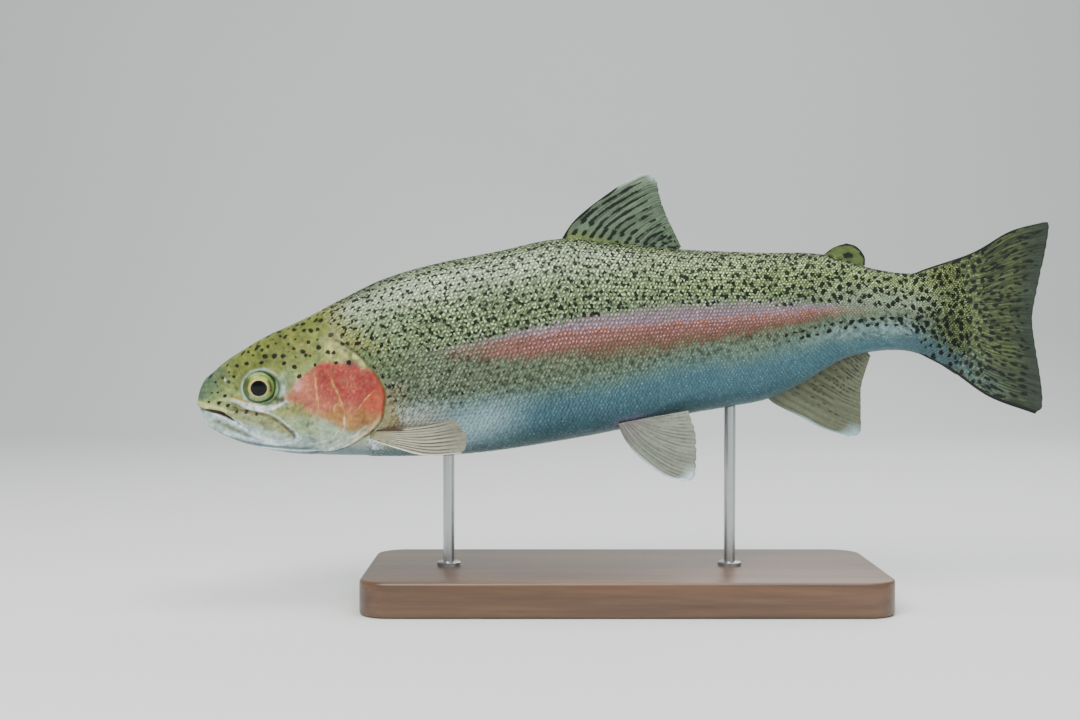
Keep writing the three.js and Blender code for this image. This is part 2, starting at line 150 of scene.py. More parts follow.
# The round black spots of the head: along, up, radius in mm.
HEAD_SPOTS = [
    (14.5, 9.15, 1.2), (15.5, 9.45, 0.9), (16.8, 9.0, 1.0), (13.3, 7.95, 1.3), (12.5, 7.95, 1.0),
    (14.1, 8.1, 1.0), (11.3, 8.0, 1.0), (15.65, 7.45, 1.3), (13.0, 6.6, 1.1), (11.45, 6.9, 0.7),
    (9.7, 7.25, 0.8), (10.65, 6.35, 0.8), (11.3, 5.85, 0.9), (12.35, 5.5, 1.3), (12.7, 5.1, 1.0),
    (14.2, 6.0, 1.3), (15.3, 5.45, 1.2), (16.0, 5.4, 1.1), (16.3, 4.2, 1.0), (17.8, 4.25, 1.3),
    (8.25, 6.05, 0.9), (7.55, 5.65, 0.9), (7.9, 4.9, 1.4), (9.0, 4.95, 1.4), (10.0, 4.95, 1.2),
    (7.5, 4.15, 1.1), (10.15, 4.1, 1.2), (11.35, 3.7, 1.3), (11.9, 2.6, 1.3), (5.95, 5.4, 0.8),
    (5.75, 4.05, 1.2), (4.6, 3.75, 1.0), (4.25, 2.5, 0.9), (3.15, 0.25, 1.0), (2.45, -0.6, 1.1),
    (2.35, 0.65, 0.7), (13.8, 3.95, 0.9), (17.0, 6.4, 1.1), (18.0, 6.85, 1.2), (2.06, 1.85, 0.7),
    (1.6, 0.58, 0.6), (3.51, -0.87, 1.1), (1.24, -0.51, 0.7), (3.69, 3.03, 0.7), (5.7, -1.62, 1.0),
    (4.6, -1.6, 0.8), (6.9, -1.85, 0.9), (6.5, 5.0, 0.7), (9.2, 6.4, 0.6), (11.5, 4.9, 0.6),
    (13.2, 5.0, 0.7), (14.1, 6.9, 0.7), (10.2, 7.1, 0.8), (7.0, 6.1, 0.6), (16.6, 7.9, 0.8),
]

# Lines and borders along the flank, as (along, up) or (along, distance) in percent.
LATERAL_LINE = [
    (20, 4.9), (28, 5.75), (32, 6.2), (37, 7.0), (43, 7.85), (51, 8.45), (57.6, 9.05), (63, 9.48),
    (67.3, 9.77), (71.8, 10.15), (76.3, 10.4), (80, 10.5), (91.8, 9.6),
]
STRIPE_ABOVE = [
    (26, 0.1), (37, 0.8), (43, 1.2), (48.7, 1.7), (55.4, 1.9), (60, 1.8), (66, 1.5), (72, 0.9),
    (84, 0.3),
]
STRIPE_BELOW = [
    (26, 0.8), (35.5, 2.4), (44.3, 3.0), (51, 3.1), (57.6, 2.7), (65, 2.2), (69.6, 1.5), (75, 0.8),
    (84, 0.4),
]
BLUE_TOP = [
    (18, -3.0), (26, -2.2), (32, -1.4), (42, 0.3), (51, 2.2), (58, 4.0), (65, 4.6), (71, 6.0),
    (77, 7.2), (82.6, 7.5), (87, 6.6), (91.8, 4.0),
]
# The upper border of the pale lower part of the gill cover.
PALE_LINE = [(11, 0.2), (13, -0.9), (14.2, -1.8), (16, -2.9), (17.9, -3.8), (19.5, -3.5), (21.6, -2.2)]
# Half the width of the open mouth along the head, in mm.
GAPE = [(0, 0.3), (0.9, 0.35), (1.6, 0.6), (2.8, 0.85), (3.6, 0.6), (4.5, 0.12), (12, 0.1)]
FINE_HEAD = 23.5  # the head's fine columns end here
HEAD_COLUMNS = 214
BODY_COLUMNS = 94
SIDE_ROWS = 152  # on each side, from belly to back
COAT_DEPTH = 0.32 * MM
RELIEF_END = (22.6, 23.4)  # the head's relief fades out between these places
MAP_MARGIN = 0.01

SCALE_COLUMNS = 184
SCALE_ROWS = 58  # on each side
SCALE_START = 13.2
SCALE_END = 91.2
SCALE_LENGTHS = [(SCALE_START, 2.3), (28, 2.4), (44, 2.15), (60, 1.9), (75, 1.8), (SCALE_END, 1.65)]
# A scale's rows of points: place along it, width and height, as shares; and the places across a row.
TILE_ROWS = [(-0.25, 0.8, -0.35), (0.3, 1.0, 0.4), (0.75, 0.96, 0.85), (1.0, 0.62, 1.0)]
TILE_ACROSS = [-1.0, -0.55, 0.0, 0.55, 1.0]
TILE_ROOT = 2  # the tile's point in the middle of its front edge
TILE_CENTRE = 12  # and the one in the middle of its third row
TILE_REACH = 0.66  # half the width of a scale, as a share of the space between two rows
PATCH = 0.003  # a scale's share of the map
PATCH_SPAN = 0.975  # the share of the map that the scales' roots take up


def running_sum(steps):
    """The sums of the steps so far, from 0."""
    return np.concatenate([[0], np.cumsum(steps)])


def read_grid(table, x, y):
    """Reads a table between its entries, at rows x and columns y."""
    i = np.clip(np.floor(x).astype(int), 0, table.shape[0] - 2)
    j = np.clip(np.floor(y).astype(int), 0, table.shape[1] - 2)
    u, v = x - i, y - j
    low = table[i, j] * (1 - v) + table[i, j + 1] * v
    high = table[i + 1, j] * (1 - v) + table[i + 1, j + 1] * v
    return low * (1 - u) + high * u


def to_linear(hex_colour):
    """The linear colour of an sRGB hex value."""
    values = [int(hex_colour[i : i + 2], 16) / 255 for i in (1, 3, 5)]
    return tuple(v / 12.92 if v <= 0.04045 else ((v + 0.055) / 1.055) ** 2.4 for v in values)


def curve_through(pairs):
    """A smooth curve through (place, value) pairs, as a function of arrays."""
    places = np.array([p[0] for p in pairs], float)
    values = np.array([p[1] for p in pairs], float)
    ends = np.arange(len(pairs))
    before = np.maximum(ends - 1, 0)
    after = np.minimum(ends + 1, len(pairs) - 1)
    slopes = (values[after] - values[before]) / (places[after] - places[before])

    def read(place):
        place = np.asarray(place, float)
        i = np.clip(np.searchsorted(places, place, side="right") - 1, 0, len(pairs) - 2)
        span = places[i + 1] - places[i]
        t = np.clip((place - places[i]) / span, 0, 1)
        rise = values[i + 1] - values[i]
        bend = (1 - t) * (slopes[i] * span - rise) - t * (slopes[i + 1] * span - rise)
        return values[i] + t * rise + t * (1 - t) * bend

    return read


back_height = curve_through(BACK)
belly_height = curve_through(BELLY)
full_width = curve_through(WIDTH)
widest_height = curve_through(WIDEST_HEIGHT)
back_taper = curve_through(BACK_TAPER)
belly_taper = curve_through(BELLY_TAPER)
lateral_line = curve_through(LATERAL_LINE)
stripe_above = curve_through(STRIPE_ABOVE)
stripe_below = curve_through(STRIPE_BELOW)
blue_top_line = curve_through(BLUE_TOP)
gape_at = curve_through(GAPE)
mouth_height = curve_through(MOUTH_LINE)
pale_line = curve_through(PALE_LINE)


def tip_rounding(distance, length):
    """How full the body is at a distance from a tip that is rounded over a length, from 0 to 1."""
    return np.sqrt(np.clip(1 - np.maximum(0, 1 - distance / length) ** 2, 0, 1))


def body_surface(along, turn):
    """Points of the body in percent: along, from left to right, and up.

    Turn 0 is the left side, a quarter the back."""
    angle = turn * 2 * np.pi
    nose = tip_rounding(along, NOSE_ROUND)
    rounding = nose * tip_rounding(BODY_END - along, END_ROUND)
    widest = widest_height(along)
    middle = NOSE_HEIGHT + (widest - NOSE_HEIGHT) * nose
    up = np.sin(angle) > 0
    reach = np.where(up, back_height(along) - widest, widest - belly_height(along))
    taper = np.where(up, back_taper(along), belly_taper(along))
    side = np.sign(np.cos(angle)) * np.abs(np.cos(angle)) ** taper
    across = -full_width(along) / 2 * side * rounding
    height = middle + reach * np.sin(angle) * rounding
    return np.stack(np.broadcast_arrays(along, across, height), -1)


def left_turns(count):
    """Turns of the left side, from the belly line to the back."""
    return np.linspace(-0.25, 0.25, count)


def to_metres(points):
    """Points in percent, placed in the frame of the solids, in metres."""
    placed = np.array(points, float) * PERCENT
    placed[..., 0] += FISH_X
    placed[..., 2] += FISH_Z
    return placed


def girth_table(columns, rows):
    """Lengths in mm round the left side from the belly line, on a grid of places along and turns."""
    along = np.linspace(0, BODY_END, columns)
    turns = left_turns(rows)
    points = body_surface(along[:, None], turns[None, :])
    steps = np.hypot(np.diff(points[..., 1], axis=1), np.diff(points[..., 2], axis=1)) * TO_MM
    return np.concatenate([np.zeros((len(along), 1)), np.cumsum(steps, axis=1)], axis=1)


GIRTHS = girth_table(368, 200)


def from_ridge(along, turn):
    """Length in mm round the body from the ridge of the back, negative on the left side."""
    last_column, last_row = (size - 1 for size in GIRTHS.shape)
    folded = np.where(turn > 0.25, 0.5 - turn, turn)
    x = np.clip(along / BODY_END, 0, 1) * (last_column - 0.001)
    y = np.clip((folded + 0.25) / 0.5, 0, 1) * (last_row - 0.001)
    down = read_grid(GIRTHS, x, last_row) - read_grid(GIRTHS, x, y)
    return np.where(turn > 0.25, down, -down)


def seen_beside(points):
    """Where points of the surface seem to be from the place beside the fish, in percent."""
    nearer = VIEWED_FROM[2] / (VIEWED_FROM[2] - np.abs(points[..., 1]))
    along = VIEWED_FROM[0] + (points[..., 0] - VIEWED_FROM[0]) * nearer
    up = VIEWED_FROM[1] + (points[..., 2] - VIEWED_FROM[1]) * nearer
    return along, up


def level_of(along, up):
    """0 at the belly line, 1 at the back line."""
    low = belly_height(along)
    return np.clip((up - low) / (back_height(along) - low), 0, 1)


def ramp(low, high, value):
    """0 at low, 1 at high and smooth between them. Low may be the larger of the two."""
    t = np.clip((value - low) / (high - low), 0, 1)
    return t * t * (3 - 2 * t)


def smooth_path(points, steps=4):
    """The same path with rounded corners."""
    points = np.array(points, float)
    padded = np.vstack([2 * points[0] - points[1], points, 2 * points[-1] - points[-2]])
    t = np.linspace(0, 1, steps, endpoint=False)[:, None]
    pieces = []
    for a, b, c, d in zip(padded[:-3], padded[1:-2], padded[2:-1], padded[3:]):
        curve = 2 * b + (c - a) * t + (2 * a - 5 * b + 4 * c - d) * t**2
        pieces.append(0.5 * (curve + (3 * b - a - 3 * c + d) * t**3))
    return np.vstack(pieces + [points[-1:]])


def path_distance(path, along, up, smooth=True):
    """Distance to a path in side view, in mm, and the place on it from 0 to 1.

    The distance is positive on the path's left hand."""
    path = smooth_path(path) if smooth else np.array(path, float)
    best = np.full(np.shape(along), 1e9)
    side = np.ones(np.shape(along))
    place = np.zeros(np.shape(along))
    count = len(path) - 1
    for i in range(count):
        ax, ay = path[i]
        dx, dy = path[i + 1] - path[i]
        t = np.clip(((along - ax) * dx + (up - ay) * dy) / (dx * dx + dy * dy), 0, 1)
        px, py = along - ax - t * dx, up - ay - t * dy
        distance = np.hypot(px, py)
        closer = distance < best
        best = np.where(closer, distance, best)
        side = np.where(closer, np.sign(dx * py - dy * px), side)
        place = np.where(closer, (i + t) / count, place)
    return best * side * TO_MM, place


def off_ends(place, first, last):
    """1 along a path, falling to 0 before the first share of it and after the last."""
    return ramp(0, first, place) * (1 - ramp(last, 1, place))


def mm_from(point, along, up, flatter=1.0):
    """Distance from a point in mm, or to an oval round it that is flatter than a circle."""
    return np.hypot(along - point[0], (up - point[1]) * flatter) * TO_MM


def inside_distance(outline, along, up):
    """Distance to a closed outline in mm, positive inside it."""
    loop = smooth_path(list(outline) + [outline[0]])
    distance, _ = path_distance(loop, along, up, smooth=False)
    inside = np.zeros(np.shape(along), bool)
    for (ax, ay), (bx, by) in zip(loop[:-1], loop[1:]):
        crosses = (ay > up) != (by > up)
        rise = by - ay if by != ay else 1e-9
        inside ^= crosses & (along < (bx - ax) * (up - ay) / rise + ax)
    return np.where(inside, np.abs(distance), -np.abs(distance))


def bump(distance, width):
    """1 on a line, falling smoothly to 0 at a width from it."""
    return 1 - ramp(0, width, np.abs(distance))


def hashed(i, j, salt):
    """A number from 0 to 1 that looks random but is the same for the same cell each time."""
    value = np.sin(i * 127.1 + j * 311.7 + salt * 74.7) * 43758.5453
    return value - np.floor(value)


def noise(along, up, size, salt):
    """Smooth noise from 0 to 1, with cells of the given size in percent.

    The salt makes it unlike the noise of other salts."""
    x, y = along / size, up / size
    i, j = np.floor(x), np.floor(y)
    u, v = x - i, y - j
    u, v = u * u * (3 - 2 * u), v * v * (3 - 2 * v)
    low = hashed(i, j, salt) * (1 - u) + hashed(i + 1, j, salt) * u
    high = hashed(i, j + 1, salt) * (1 - u) + hashed(i + 1, j + 1, salt) * u
    return low * (1 - v) + high * v


def spot_field(x, y, cell, tall, radius, spread, salt, loose=0.8):
    """How far inside a spot a place is, in mm. Spots of uneven size sit on a loose staggered grid."""
    column, row = np.floor(x / cell), np.floor(y / (cell * tall))
    best = np.full(np.shape(x), -9.0)
    for across in (-1, 0, 1):
        for down in (-1, 0, 1):
            i, j = column + across, row + down
            middle_x = (i + 0.5 + 0.5 * (j % 2 - 0.5) + loose * (hashed(i, j, salt) - 0.5)) * cell
            middle_y = (j + 0.5 + loose * (hashed(i, j, salt + 1) - 0.5)) * cell * tall
            size = radius + spread * (hashed(i, j, salt + 2) - 0.4)
            lean = 0.9 * (hashed(i, j, salt + 3) - 0.5)
            aspect = 0.95 + 0.6 * hashed(i, j, salt + 4)
            across_spot, along_spot = x - middle_x, y - middle_y
            reach = np.hypot(across_spot + lean * along_spot, along_spot / aspect)
            best = np.maximum(best, size - reach)
    return best


def head_relief(along, up):
    """How far the head's skin stands out of the plain body, in mm."""
    relief = np.zeros(np.shape(along))

    mouth, mouth_place = path_distance(MOUTH_LINE, along, up)
    gape = gape_at(along)
    lips = bump(np.abs(mouth) - 1.2 - gape, 1.2) * (1 - ramp(0.6, 0.9, mouth_place))
    relief += 0.35 * lips
    cleft = (0.35 + 2.6 * gape) * (1 - ramp(0.5 * gape, 0.55 + 1.05 * gape, np.abs(mouth)))
    relief -= cleft * (1 - 0.75 * ramp(4.2, 5.2, along))
    relief -= 1.5 * ramp(0.0, -0.8, mouth) * ramp(1.7, 0.2, along)

    maxilla = inside_distance(MAXILLA, along, up)
    relief += 0.75 * ramp(-0.35, 0.7, maxilla)
    relief -= 0.4 * bump(maxilla + 0.7, 0.8) * ramp(2.5, 4.5, along)
    relief -= 0.22 * bump(maxilla - 2.0, 0.6) * ramp(5.5, 7.5, along)

    eye = mm_from(EYE, along, up, 1.08)
    relief -= 3.2 * (1 - ramp(7.8, 9.2, eye))
    relief += 0.3 * bump(eye - 9.9, 1.3)
    relief -= 0.2 * bump(eye - 12.0, 1.4)

    for place in NOSTRILS:
        nostril = mm_from(place, along, up, 1.1)
        relief -= 1.1 * (1 - ramp(0.5, 1.25, nostril))
        relief += 0.22 * bump(nostril - 1.6, 0.6)

    cover, cover_place = path_distance(COVER_REAR, along, up)
    upper_end = 1 - ramp(0.86, 1.0, cover_place)
    lower_end = ramp(0.0, 0.12, cover_place)
    inner = ramp(0, 0.45, cover)
    reach = ramp(30, 0, cover) * ramp(11.5, 15.5, along)
    relief += (1.15 - 0.6 * ramp(3.5, 6.0, up)) * inner * reach * upper_end * lower_end
    relief -= 0.95 * bump(cover + 0.35, 0.9) * upper_end * lower_end
    relief += 0.22 * bump(cover - 1.1, 0.9) * upper_end * lower_end

    inside = ramp(0.5, 2.0, cover)
    for line, depth, width in (
        (PREOPERCLE, 0.5, 0.9), (CHEEK_LINE, 0.28, 0.9), (SUBOPERCLE, 0.34, 0.7),
        (INTEROPERCLE, 0.34, 0.7),
    ):
        distance, place = path_distance(line, along, up)
        ends = off_ends(place, 0.12, 0.88)
        relief -= depth * bump(distance, width) * inside * ends
        relief += 0.35 * depth * bump(distance - 1.5 * width, width) * inside * ends
    for line in BRANCHIALS:
        distance, place = path_distance(line, along, up)
        relief -= 0.3 * bump(distance, 0.6) * inside * off_ends(place, 0.2, 0.8)

    relief += 0.25 * (noise(along, up, 1.1, 3) - 0.5) * ramp(1, 3, along) * ramp(24, 20, along)
    return np.where(relief > 0, relief * ramp(0.2, 1.4, along), relief)


# Colours of the living skin, as sRGB. The body's tones are pairs: a scale's surround and its middle.
# A scale's middle is partly its own pale silver and partly a painted glint.
TONES = {
    "back_front": ("#87937a", "#e2eed3"), "back_rear": ("#596840", "#cadb9e"),
    "ridge": ("#343f28", "#8a9c68"), "upper": ("#5b6b4a", "#bccfa4"),
    "shoulder": ("#6b7d58", "#c4d3aa"), "middle": ("#64715c", "#a9b69a"),
    "lavender": ("#846d7a", "#c4a7bb"), "stripe": ("#835853", "#d3a9a5"),
    "stripe_low": ("#664838", "#957a68"), "low": ("#62796d", "#95b3a6"),
    "blue": ("#486b77", "#88acba"), "under": ("#6d8388", "#9cb1b7"),
    "belly": ("#a0bfc8", "#cbe0e8"), "cream": ("#94896a", "#b5ab8d"),
    "tail": ("#46522f", "#a3ac6a"), "tail_low": ("#465a5e", "#748d90"),
    "lilac": ("#7b7890", "#a3a0b4"), "nape": ("#777a45", "#d6d2a2"),
    "chest": ("#c3c6b6", "#dbddd2"), "peduncle": ("#76876f", "#b7c8b2"),
}
LINE_ORANGE = "#b26a41"
SPOT_BLACK = "#0b100a"
HEAD_TOP = "#636a2e"
HEAD_SIDE = "#8d9b62"
SNOUT = "#4a6353"
LIP = "#c0bf84"
TEMPLE = "#a0c6c4"
CHEEK = "#94945a"
CHEEK_LOW = "#98aa84"
CREAM_AND_HIGHLIGHT = "#b9b878"
MOTTLE_OLIVE = "#4f5a2c"
JAW = "#adc1bd"
JAW_MOTTLE = "#6b7446"
JAW_PALE_AND_HIGHLIGHT = "#e6f6ff"
MAXILLA_OLIVE = "#969c70"
MAXILLA_RIM = "#ecf6fb"
INFRAORBITAL_CREAM = "#dde2e8"
INFRAORBITAL_BROWN = "#a36a34"
GILL_RED = "#8c2228"
GILL_ROSE = "#a44c46"
GILL_ORANGE = "#a64a34"
GILL_TAN = "#a07440"
GILL_CREAM = "#cba472"
GILL_PALE = "#96a68e"
GILL_DUSK = "#5e3d4a"
GOLD_LINE = "#dfb25e"
WHITE_LINE = "#dfe6e4"
THROAT = "#738a80"
THROAT_SHADE_BLUE = "#54727a"
ORBIT_DARK = "#2c4a44"
ORBIT_RIM_HIGHLIGHT = "#9cc0c8"
PIT_SHADOW = "#241a16"
MOUTH_BROWN_SHADE = "#5e4e40"
LINE_DARK = "#4a3a28"
ARMPIT = "#85743c"
INFRAORBITAL_EDGE = "#e3d9a6"
GILL_PINK_AND_HIGHLIGHT = "#cfa3a6"
ORBIT_SHADOW = "#33291c"
CREVICE_SHADOW = "#4a3a34"
# Tints of the eyes and the fins, by the place they take there.
TINTS = {
    "iris": {
        "green": "#788b45", "inner": "#c3c888", "bright": "#a3b05a", "low": "#86a07c",
        "front": "#3a4222", "rear": "#33261b", "arc": "#414d26", "limbus": "#27483d",
        "gold": "#e8c76a", "pupil": "#04070a",
    },
    "dorsal": {
        "ground": "#596a56", "foot": "#5f6c3c", "rear": "#4d6049", "lines": "#1f3024",
        "tip": "#b4c6c4",
    },
    "caudal": {
        "ground": "#303b23", "rays": "#5f6440", "bluish": "#3f5455", "margin": "#313a31",
        "lines": "#1a1d10", "strokes": "#636f47",
    },
    "anal": {
        "ground": "#555b48", "foot": "#44472d", "rays": "#787a64", "lines": "#23241a",
        "specks": "#1c2018", "tip": "#a9c8d2",
    },
    "pelvic": {
        "ground": "#737a6e", "foot": "#6b6266", "rear": "#99a08e", "rays": "#9b9c90",
        "lines": "#3f3d33", "tip": "#cfe0ee",
    },
    "pectoral": {
        "ground": "#858375", "rays": "#bdb7a4", "lines": "#38332a", "foot": "#98905f",
        "armpit": "#43301f", "second_ray": "#53503a", "edge": "#dcdcc4",
    },
    "adipose": {
        "ground": "#4d5b30",
    },
}


class Coat:
    """Layers of colour over the same points, in one shade or in two (a scale's surround and middle)."""

    def __init__(self, shape, tint):
        self.shades = [np.ones(shape + (3,)) * over for over in tints_of(tint)]

    def lay(self, tint, mask):
        """Lays a tint over the rest where the mask is 1."""
        mask = np.asarray(mask)[..., None]
        over = tints_of(tint)
        for k, shade in enumerate(self.shades):
            self.shades[k] = shade * (1 - mask) + over[k % len(over)] * mask

    def dim(self, factor):
        """Makes every layer darker or lighter."""
        self.shades = [shade * np.asarray(factor)[..., None] for shade in self.shades]


def tints_of(tint):
    """The linear colours of a tint: a name from TONES, a hex value, or linear colours as they are."""
    if isinstance(tint, str):
        return [np.array(to_linear(value)) for value in TONES.get(tint, (tint,))]
    return [tint]


# The painters lay one colour after another. The numbers in them are places along and up the fish in
# percent, levels from the belly (0) to the back (1), distances from a line in mm, strengths from 0
# to 1, and salts. They were set one by one.
def body_pigment(along, up, level):
    """The ground colours of the body, as a coat with two shades."""
    wander = noise(along, up, 2.4, 11) - 0.5
    fine = noise(along, up, 0.8, 12) - 0.5
    rough = 0.9 * wander + 0.5 * fine
    rear = ramp(38, 72, along)
    line = lateral_line(along)
    above = stripe_above(along)
    below = stripe_below(along)
    blue_top = blue_top_line(along)
    over_line = up - line
    strength = ramp(26, 41, along + 3 * rough) * (1 - ramp(72, 84, along))
    front = 1 - ramp(20, 30, along)
    tail = ramp(83.5, 88.5, along + rough)
    coat = Coat(np.shape(along), "middle")
    coat.lay("low", ramp(2.8, 0.4, up - blue_top + 0.7 * rough))
    # Partly the lower flank's own blue-silver, partly painted shade of the underside, darker than the
    # silver.
    coat.lay("blue", ramp(1.4, -1.6, up - blue_top + 0.6 * rough))
    pale = ramp(41, 31, along + 2 * rough) * bump(level - 0.15 + 0.02 * rough, 0.19)
    coat.lay("belly", pale)
    coat.lay("chest", pale * ramp(32, 26, along + rough))
    coat.lay("under", ramp(0.07 + 0.07 * ramp(25, 18, along), 0.0, level) * 0.9)
    socket = np.hypot((along - 51.2) / 2.6, (up + 2.9 - 0.2 * (along - 51.2)) / 1.0)
    coat.lay("lilac", 0.8 * ramp(1.3, 0.5, socket))
    upper = ramp(-0.2, 1.4, over_line - above * strength + 0.6 * rough)
    coat.lay("upper", upper)
    coat.lay("shoulder", front * ramp(1.5, 4.0, up + rough))
    # Partly the back's own pale colour, partly painted sheen: the upper front of the back is lighter,
    # as where the top light falls.
    back_sheen = ramp(0.76, 0.9, level + 0.03 * rough) * (1 - rear) * (1 - 0.35 * ramp(32, 42, along))
    coat.lay("back_front", back_sheen)
    coat.lay("back_rear", ramp(0.62, 0.82, level + 0.03 * rough) * rear)
    coat.lay("ridge", 0.3 * ramp(0.9, 0.955, level) + 0.55 * ramp(0.94, 0.995, level))
    depth = -over_line / np.maximum(below, 0.3)
    red = ramp(1.35, 0.7, depth + 0.3 * rough) * ramp(0.3, -0.1, over_line)
    coat.lay("stripe_low", 0.85 * strength * red)
    red = red * ramp(0.9, 0.25, depth + 0.3 * rough - 0.35 * ramp(50, 38, along))
    coat.lay("stripe", 0.9 * strength * red)
    pink = ramp(1.35, 0.45, over_line / np.maximum(above, 0.2)) * ramp(-0.3, 0.15, over_line)
    coat.lay("lavender", 0.85 * strength * pink)
    beside_fin = ramp(26.0, 21.5, along + 0.8 * rough) * ramp(-6.0, -4.5, up)
    beside_fin = beside_fin * ramp(2.8, 0.2, up + 1.5 * rough)
    under_arm = (
        ramp(24.6, 22.8, along + rough) * ramp(-0.3, -2.0, up + 1.5 * rough) * ramp(-5.6, -5.0, up)
    )
    coat.lay("cream", 0.9 * np.maximum(beside_fin, under_arm))
    border, _ = path_distance(SCALE_BORDER, along, up)
    rim = ramp(8.0, 3.0, border + 3 * rough) * ramp(1.6, -0.6, up + rough) * ramp(-5.4, -4.7, up)
    coat.lay("cream", 0.75 * rim)
    nape = ramp(17.0, 4.0, border + 6 * rough) * ramp(4.5, 6.5, up) * ramp(26, 22, along)
    coat.lay("nape", 0.95 * nape)
    corner_up = up + 4.9 + 0.3 * (along - 20.4)
    corner = ramp(1.35, 0.5, np.hypot((along - 20.5) / 1.6, corner_up / 0.85) + 0.4 * rough)
    coat.lay(JAW_PALE_AND_HIGHLIGHT, 0.9 * corner)
    armpit = bump(np.hypot((along - 23.2) / 1.5, (up + 2.7) / 1.0), 1.0)
    coat.lay(ARMPIT, 0.75 * armpit)
    rear_side = ramp(71, 80, along + rough) * ramp(92, 86, along) * bump(level - 0.56, 0.34)
    coat.lay("peduncle", 0.8 * rear_side)
    pale_low = ramp(70, 77, along) * ramp(90, 84, along) * bump(up - blue_top - 0.8 + 0.3 * rough, 1.3)
    coat.lay("belly", 0.36 * pale_low * (1 + 0.6 * fine))
    low_tail = ramp(0.6, -1.0, up - blue_top + rough)
    coat.lay("tail_low", 0.55 * low_tail * ramp(80, 86, along) * (1 + 0.8 * fine))
    coat.lay("tail", 0.85 * tail * (1 - low_tail))
    coat.lay("tail_low", 0.8 * tail * low_tail)
    coat.dim(1 + 0.16 * wander + 0.14 * fine)
    return coat


def body_ink(along, up, around):
    """How far inside the body's black spots a place is, in mm; how bright the scales' middles are
    there, as pale silver with a painted glint; and how dark the soft marks under the stripe are."""
    wander = noise(along, up, 2.1, 13) - 0.5
    line = lateral_line(along)
    over_line = up - line
    blue_top = blue_top_line(along)
    strength = ramp(26, 38, along) * (1 - ramp(74, 86, along))
    top = over_line - stripe_above(along) * strength
    below = stripe_below(along) * strength
    under = -over_line - below
    allowed = ramp(-1.1, 0.4, top + 0.6 * wander)
    smudges = ramp(-1.0, 1.6, up - blue_top + wander) * ramp(-0.5, 0.6, under + 0.5 * wander)
    allowed = np.maximum(allowed, 0.78 * smudges * (1 - 0.35 * ramp(36, 50, along)))
    front = 1 - ramp(22, 34, along)
    allowed = np.maximum(allowed, 0.93 * front * ramp(-2.8, 0.0, up + wander))
    tail = ramp(79, 85, along) * ramp(-1.0, 0.6, up - blue_top + wander)
    tail = np.maximum(tail, 0.92 * ramp(83.0, 86.5, along + 0.8 * wander))
    allowed = np.maximum(allowed, tail)
    x = along * TO_MM
    rear = ramp(50, 74, along)
    small = ramp(33, 22, along)
    main = spot_field(x, around, 4.3, 1.04, 0.92, 0.45, 311, 0.66) + 0.26 * rear - 0.06 * small
    between = spot_field(x, around, 2.8, 1.05, 0.5, 0.6, 301, 0.8) - 0.1 * rear
    row_place = (up - blue_top - 1.45) * TO_MM
    row = (
        spot_field(x, row_place, 5.0, 1.0, 1.25, 0.5, 321, 0.4)
        - 1.5 * ramp(2.0, 3.0, np.abs(row_place))
    )
    row = row - 3 * (1 - ramp(64, 71, along) * ramp(89, 87, along))
    ink = np.maximum(np.maximum(main, between) - 2.0 * (1 - allowed), row)
    marks = ramp(-0.4, 0.4, spot_field(x, around, 3.1, 1.05, 0.8, 0.7, 341, 0.8))
    soft = marks * smudges * ramp(93, 88, along)
    brightness = ramp(-2.6, 1.4, up - blue_top) * (1.0 + 0.4 * wander)
    brightness = (
        brightness * (1 - 0.45 * strength * ramp(0.0, 1.0, -over_line / np.maximum(below, 0.3)))
    )
    brightness = brightness * (1 - 0.25 * ramp(0.0, 1.0, under) * (1 - strength))
    border, _ = path_distance(SCALE_BORDER, along, up)
    started = np.maximum(ramp(0, 11, border), ramp(4.5, 2.5, up))
    brightness = brightness * (1 - 0.3 * ramp(30, 20, along)) * (0.35 + 0.65 * started)
    return ink, brightness, soft


